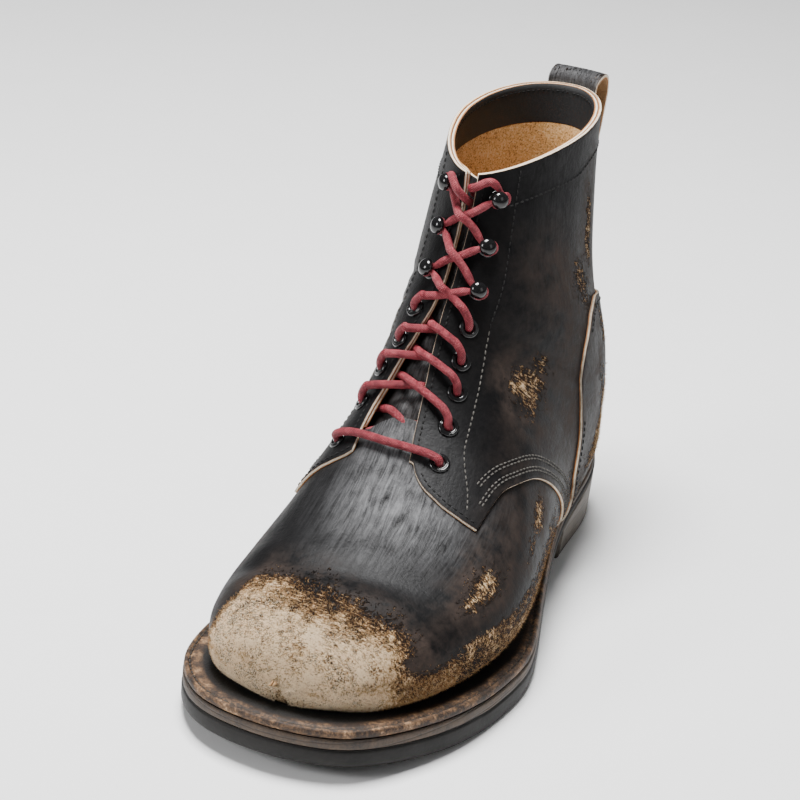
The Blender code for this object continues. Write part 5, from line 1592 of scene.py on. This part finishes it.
def cut_edge(name):
    """The raw edge: cream layers with an orange line between, dirtier towards the faces."""
    look = Look(name)
    share = look.parts(look.flat())[1]
    fine, blotch = look.noise(1400, 3, 0.6), look.noise(220, 4, 0.6)
    wavy = look.plus(share, look.times(look.sum("SUBTRACT", blotch, 0.5), 0.22))
    layers = look.ramp(wavy, (0.0, (0.07, 0.045, 0.03)), (0.08, (0.34, 0.22, 0.13)),
                       (0.18, EDGE), (0.50, (0.66, 0.53, 0.37)), (0.64, (0.48, 0.22, 0.07)),
                       (0.74, (0.34, 0.13, 0.04)), (1.0, (0.11, 0.05, 0.02)))
    dirty = look.spread(look.plus(look.times(look.mark("haze"), 0.35), blotch,
                                  look.times(fine, 0.45)), 0.78, 1.25)
    colour = look.mix(look.times(dirty, 0.85), layers, (0.15, 0.105, 0.07))
    return look.done(colour, 0.9, look.bump(look.plus(fine, blotch), 0.0007, 0.9))


BAND_DEPTH = 0.018         # the black band inside the collar


def lining_leather(name):
    """Speckled tan suede with a black band round the top and a seam along the band's edge."""
    look = Look(name)
    fine, blotch = look.noise(1300, 4, 0.7), look.noise(160, 4, 0.6)
    down = look.mark("down")
    band = look.sum("SUBTRACT", 1.0, look.spread(down, BAND_DEPTH - 0.0002, BAND_DEPTH + 0.0002))
    suede = look.ramp(look.plus(look.times(fine, 1.15), look.times(blotch, 0.3), -0.22),
                      (0.30, (0.17, 0.065, 0.018)), (0.42, (0.70, 0.37, 0.13)),
                      (0.56, (0.92, 0.57, 0.25)), (0.70, (0.95, 0.72, 0.42)))
    colour = look.mix(band, suede, look.mix(fine, (0.008, 0.008, 0.008), (0.040, 0.040, 0.041)))
    rough = look.sum("SUBTRACT", 0.92, look.times(band, 0.42))
    raised = look.plus(look.times(fine, 0.3), look.times(band, 2.0))
    return look.done(colour, rough, look.bump(raised, 0.0006, 0.8), Specular_IOR_Level=0.35)


def lace_weave(name):
    """Crimson braid: yarns cross in diamonds, with painted shade where they dive and a painted pink
    highlight on their tops, over a mottle of its own.
    """
    look = Look(name)
    round_it, along_it = look.parts(look.flat())[0:2]
    turn, step = look.times(round_it, 14.0), look.times(along_it, 1150.0)
    left = look.sum("FRACT", look.sum("ADD", turn, step))
    right = look.sum("FRACT", look.sum("SUBTRACT", turn, step))
    bulge_l = look.sum("SINE", look.times(left, PI))
    bulge_r = look.sum("SINE", look.times(right, PI))
    yarn = look.times(bulge_l, bulge_r)
    fuzz, patch = look.noise(2300, 3, 0.7), look.noise(330, 4, 0.65)
    # The ramp paints shade where the yarns dive and a pale pink highlight on the highest yarns; fuzz
    # and patch add the lace's own mottle.
    colour = look.ramp(look.plus(look.times(yarn, 0.40), look.times(fuzz, 0.40),
                                 look.times(patch, 0.55), -0.08),
                       (0.26, (0.014, 0.0003, 0.002)), (0.46, (0.10, 0.0012, 0.007)),
                       (0.66, (0.26, 0.006, 0.020)), (0.90, (0.60, 0.20, 0.21)))
    normal = look.bump(look.plus(look.times(yarn, 0.6), look.times(fuzz, 0.5)), 0.00035, 0.9)
    return look.done(colour, 0.55, normal, Specular_IOR_Level=0.40, Sheen_Weight=0.03,
                     Sheen_Roughness=0.4, Sheen_Tint=(0.95, 0.55, 0.6))


def welt_leather(name):
    """Worn brown, and black close to the leather, which is partly dark stain and partly painted shadow
    under the upper's overhang; clear is the share of the way to the rim.
    """
    look = Look(name)
    clear = look.mark("clear")
    blotch, fine, speck = look.noise(150, 4, 0.6), look.noise(700, 4, 0.65), look.noise(1900, 2)
    both = look.plus(look.times(blotch, 0.5), look.times(fine, 0.35), look.times(speck, 0.15))
    edge = look.ramp(both, (0.36, (0.006, 0.004, 0.003)), (0.47, (0.030, 0.017, 0.010)),
                      (0.56, (0.125, 0.068, 0.033)), (0.66, (0.40, 0.25, 0.135)))
    black = look.mix(look.spread(fine, 0.4, 0.7), (0.005, 0.0045, 0.004), (0.012, 0.010, 0.009))
    # The black inside this line is partly the welt's dark stain and partly painted shadow under the
    # upper's overhang.
    outside = look.spread(look.plus(clear, look.times(both, -0.35)), 0.46, 0.60)
    return look.done(look.mix(outside, black, edge), look.plus(0.55, look.times(fine, 0.2)),
                     look.bump(both, 0.0009, 0.9), Specular_IOR_Level=0.35)


def simple(name, dark, light, scale, rough, depth, metallic=0.0, **constants):
    """A surface of two colours mixed by noise, with the same noise as its bump."""
    look = Look(name)
    broad = look.noise(scale, 4, 0.6)
    fine = look.noise(scale * 7, 4, 0.65)
    both = look.plus(look.times(broad, 0.6), look.times(fine, 0.4))
    colour = look.mix(look.spread(both, 0.32, 0.72), dark, light)
    roughness = look.plus(rough - 0.06, look.times(fine, 0.12))
    return look.done(colour, roughness, look.bump(both, depth, 0.7), Metallic=metallic,
                     **constants)


def stacked(name, dark, light, rough, pitch, depth):
    """Leather board in layers that lie level, with dirt in the joints."""
    look = Look(name)
    fine, blotch = look.noise(900, 4, 0.65), look.noise(110, 4, 0.6)
    height = look.parts(look.place())[2]
    wavy = look.plus(look.times(height, 1.0 / pitch), look.times(blotch, 0.35))
    joint = look.sum("SINE", look.times(wavy, 2 * PI))
    line = look.spread(joint, 0.72, 1.0)
    both = look.plus(look.times(fine, 0.5), look.times(blotch, 0.5))
    colour = look.mix(look.times(line, 0.35), look.mix(look.spread(both, 0.35, 0.7), dark, light),
                      tuple(0.45 * c for c in dark))
    return look.done(colour, look.plus(rough, look.times(fine, 0.12)),
                     look.bump(look.sum("SUBTRACT", both, look.times(line, 0.6)), depth, 0.7))


# Outer face, cut edge and inner face of the leather, then of the lining.
leather_looks = [worn_leather("black_leather"), cut_edge("raw_edge"),
                 simple("leather_back", (0.25, 0.14, 0.06), (0.42, 0.26, 0.13), 300, 0.92, 0.0003)]
lining_looks = [lining_leather("lining_suede_outside"), leather_looks[1],
                lining_leather("lining_suede")]
thread = simple("thread", (0.003, 0.003, 0.003), (0.012, 0.0115, 0.011), 500, 0.7, 0.0002,
                Specular_IOR_Level=0.25)
grey_thread = simple("grey_thread", (0.03, 0.029, 0.027), (0.15, 0.14, 0.125), 700, 0.8, 0.0002,
                     Specular_IOR_Level=0.2)
welt_thread = simple("welt_thread", (0.012, 0.010, 0.008), (0.05, 0.04, 0.03), 500, 0.8, 0.0002)
enamel = simple("black_enamel", (0.002, 0.002, 0.0022), (0.006, 0.006, 0.0065), 500, 0.13, 0.00002)
barrel = simple("bright_barrel", (0.42, 0.42, 0.42), (0.78, 0.78, 0.76), 400, 0.2, 0.00004, 1.0)
sole_looks = {
    "outsole": simple("outsole_rubber", (0.005, 0.0047, 0.0045), (0.016, 0.0145, 0.013), 90, 0.6,
                      0.0004, Specular_IOR_Level=0.22),
    "midsole": stacked("midsole_edge", (0.012, 0.0085, 0.006), (0.085, 0.052, 0.030), 0.6, 0.0035,
                       0.0004),
    "welt": welt_leather("welt_leather"),
    "heel": stacked("heel_stack", (0.045, 0.036, 0.025), (0.105, 0.082, 0.056), 0.5, 0.0062,
                    0.0003),
    "insole": simple("insole_leather", (0.24, 0.14, 0.07), (0.40, 0.26, 0.14), 120, 0.8, 0.0003)}


# ---- camera, light and floor ---------------------------------------------------------------------
EYE_AZIMUTH_DEG = 26.026   # round from straight in front of the toe, towards the lateral side
EYE_ELEVATION_DEG = 25.174
EYE_ROLL_DEG = 2.376
EYE_PLACE = (-80.46, 81.89, 1106.05)   # to the eye's right, up and back from the boot's own zero
EYE_AIM = (0.0621, 0.0032)             # aside from straight ahead: right and up
LENS = 114.0


def build_camera():
    """The eye's place and way of looking, from angles, distance and roll about the boot."""
    azimuth, elevation, roll = (math.radians(a) for a in (EYE_AZIMUTH_DEG, EYE_ELEVATION_DEG,
                                                          EYE_ROLL_DEG))
    back = np.array([math.sin(azimuth) * math.cos(elevation),
                     -math.cos(azimuth) * math.cos(elevation), math.sin(elevation)])
    right = np.array([math.cos(azimuth), math.sin(azimuth), 0.0])
    up = np.cross(back, right)
    place = (right * EYE_PLACE[0] + up * EYE_PLACE[1] + back * EYE_PLACE[2] - MIDDLE) * MM
    right, up = (right * math.cos(roll) + up * math.sin(roll),
                 up * math.cos(roll) - right * math.sin(roll))
    aim = -back + right * EYE_AIM[0] + up * EYE_AIM[1]
    aim /= np.linalg.norm(aim)
    right = np.cross(aim, up)
    right /= np.linalg.norm(right)
    up = np.cross(right, aim)
    turn = mathutils.Matrix(np.column_stack([right, up, -aim]).tolist()).to_4x4()
    data = bpy.data.cameras.new("camera")
    data.sensor_width = 36.0
    data.lens = LENS
    data.clip_start = 0.05
    made = bpy.data.objects.new("camera", data)
    made.matrix_world = mathutils.Matrix.Translation(place.tolist()) @ turn
    bpy.context.scene.collection.objects.link(made)
    bpy.context.scene.camera = made


# Lights: name, place, what it is aimed at, size and watts.
LIGHTS = (("overhead", (-0.15, 0.05, 1.35), (0.0, -0.03, 0.05), (0.5, 0.5), 53.0),
          ("front_left", (-1.1, -1.3, 1.0), (0.0, 0.0, 0.08), (0.6, 0.6), 18.0),
          ("right", (1.4, -0.5, 0.9), (0.0, 0.0, 0.08), (0.5, 0.7), 1.6))
SKY_STRENGTH = 0.2
FLOOR_HALF = 8.0


def area_light(name, place, aim, size, watts):
    """A white rectangular light, turned to face what it is aimed at."""
    data = bpy.data.lights.new(name, "AREA")
    data.shape = "RECTANGLE"
    data.size, data.size_y = size
    data.energy = watts
    made = bpy.data.objects.new(name, data)
    way = mathutils.Vector(aim) - mathutils.Vector(place)
    made.location = place
    made.rotation_euler = way.to_track_quat("-Z", "Y").to_euler()
    bpy.context.scene.collection.objects.link(made)


def build_room():
    """A pale floor, a soft sky and three large lights."""
    half = FLOOR_HALF
    mesh = bpy.data.meshes.new("floor")
    mesh.from_pydata([(-half, -half, 0), (half, -half, 0), (half, half, 0), (-half, half, 0)], [],
                     [(0, 1, 2, 3)])
    mesh.materials.append(simple("floor_paper", (0.86, 0.86, 0.86), (0.89, 0.89, 0.89), 3, 0.85,
                                 0.0002))
    floor = bpy.data.objects.new("floor", mesh)
    bpy.context.scene.collection.objects.link(floor)
    world = bpy.data.worlds.new("studio")
    world.use_nodes = True
    sky = world.node_tree.nodes["Background"]
    sky.inputs["Color"].default_value = (1.0, 1.0, 1.0, 1.0)
    sky.inputs["Strength"].default_value = SKY_STRENGTH
    bpy.context.scene.world = world
    for light in LIGHTS:
        area_light(*light)


# ---- the boot ------------------------------------------------------------------------------------
build_camera()
build_laces(lace_weave("lace_braid"))
build_vamp(leather_looks)
build_quarters(leather_looks)
build_lining(lining_looks)
build_counter(leather_looks)
build_backstay(leather_looks)
build_tongue(leather_looks)
build_pull_loop(leather_looks)
build_sole(sole_looks)
build_fittings([enamel, barrel])
build_stitches([thread, grey_thread])
build_welt_stitches([welt_thread])
build_fibres([suede_fibres("suede_fibre")])
build_room()
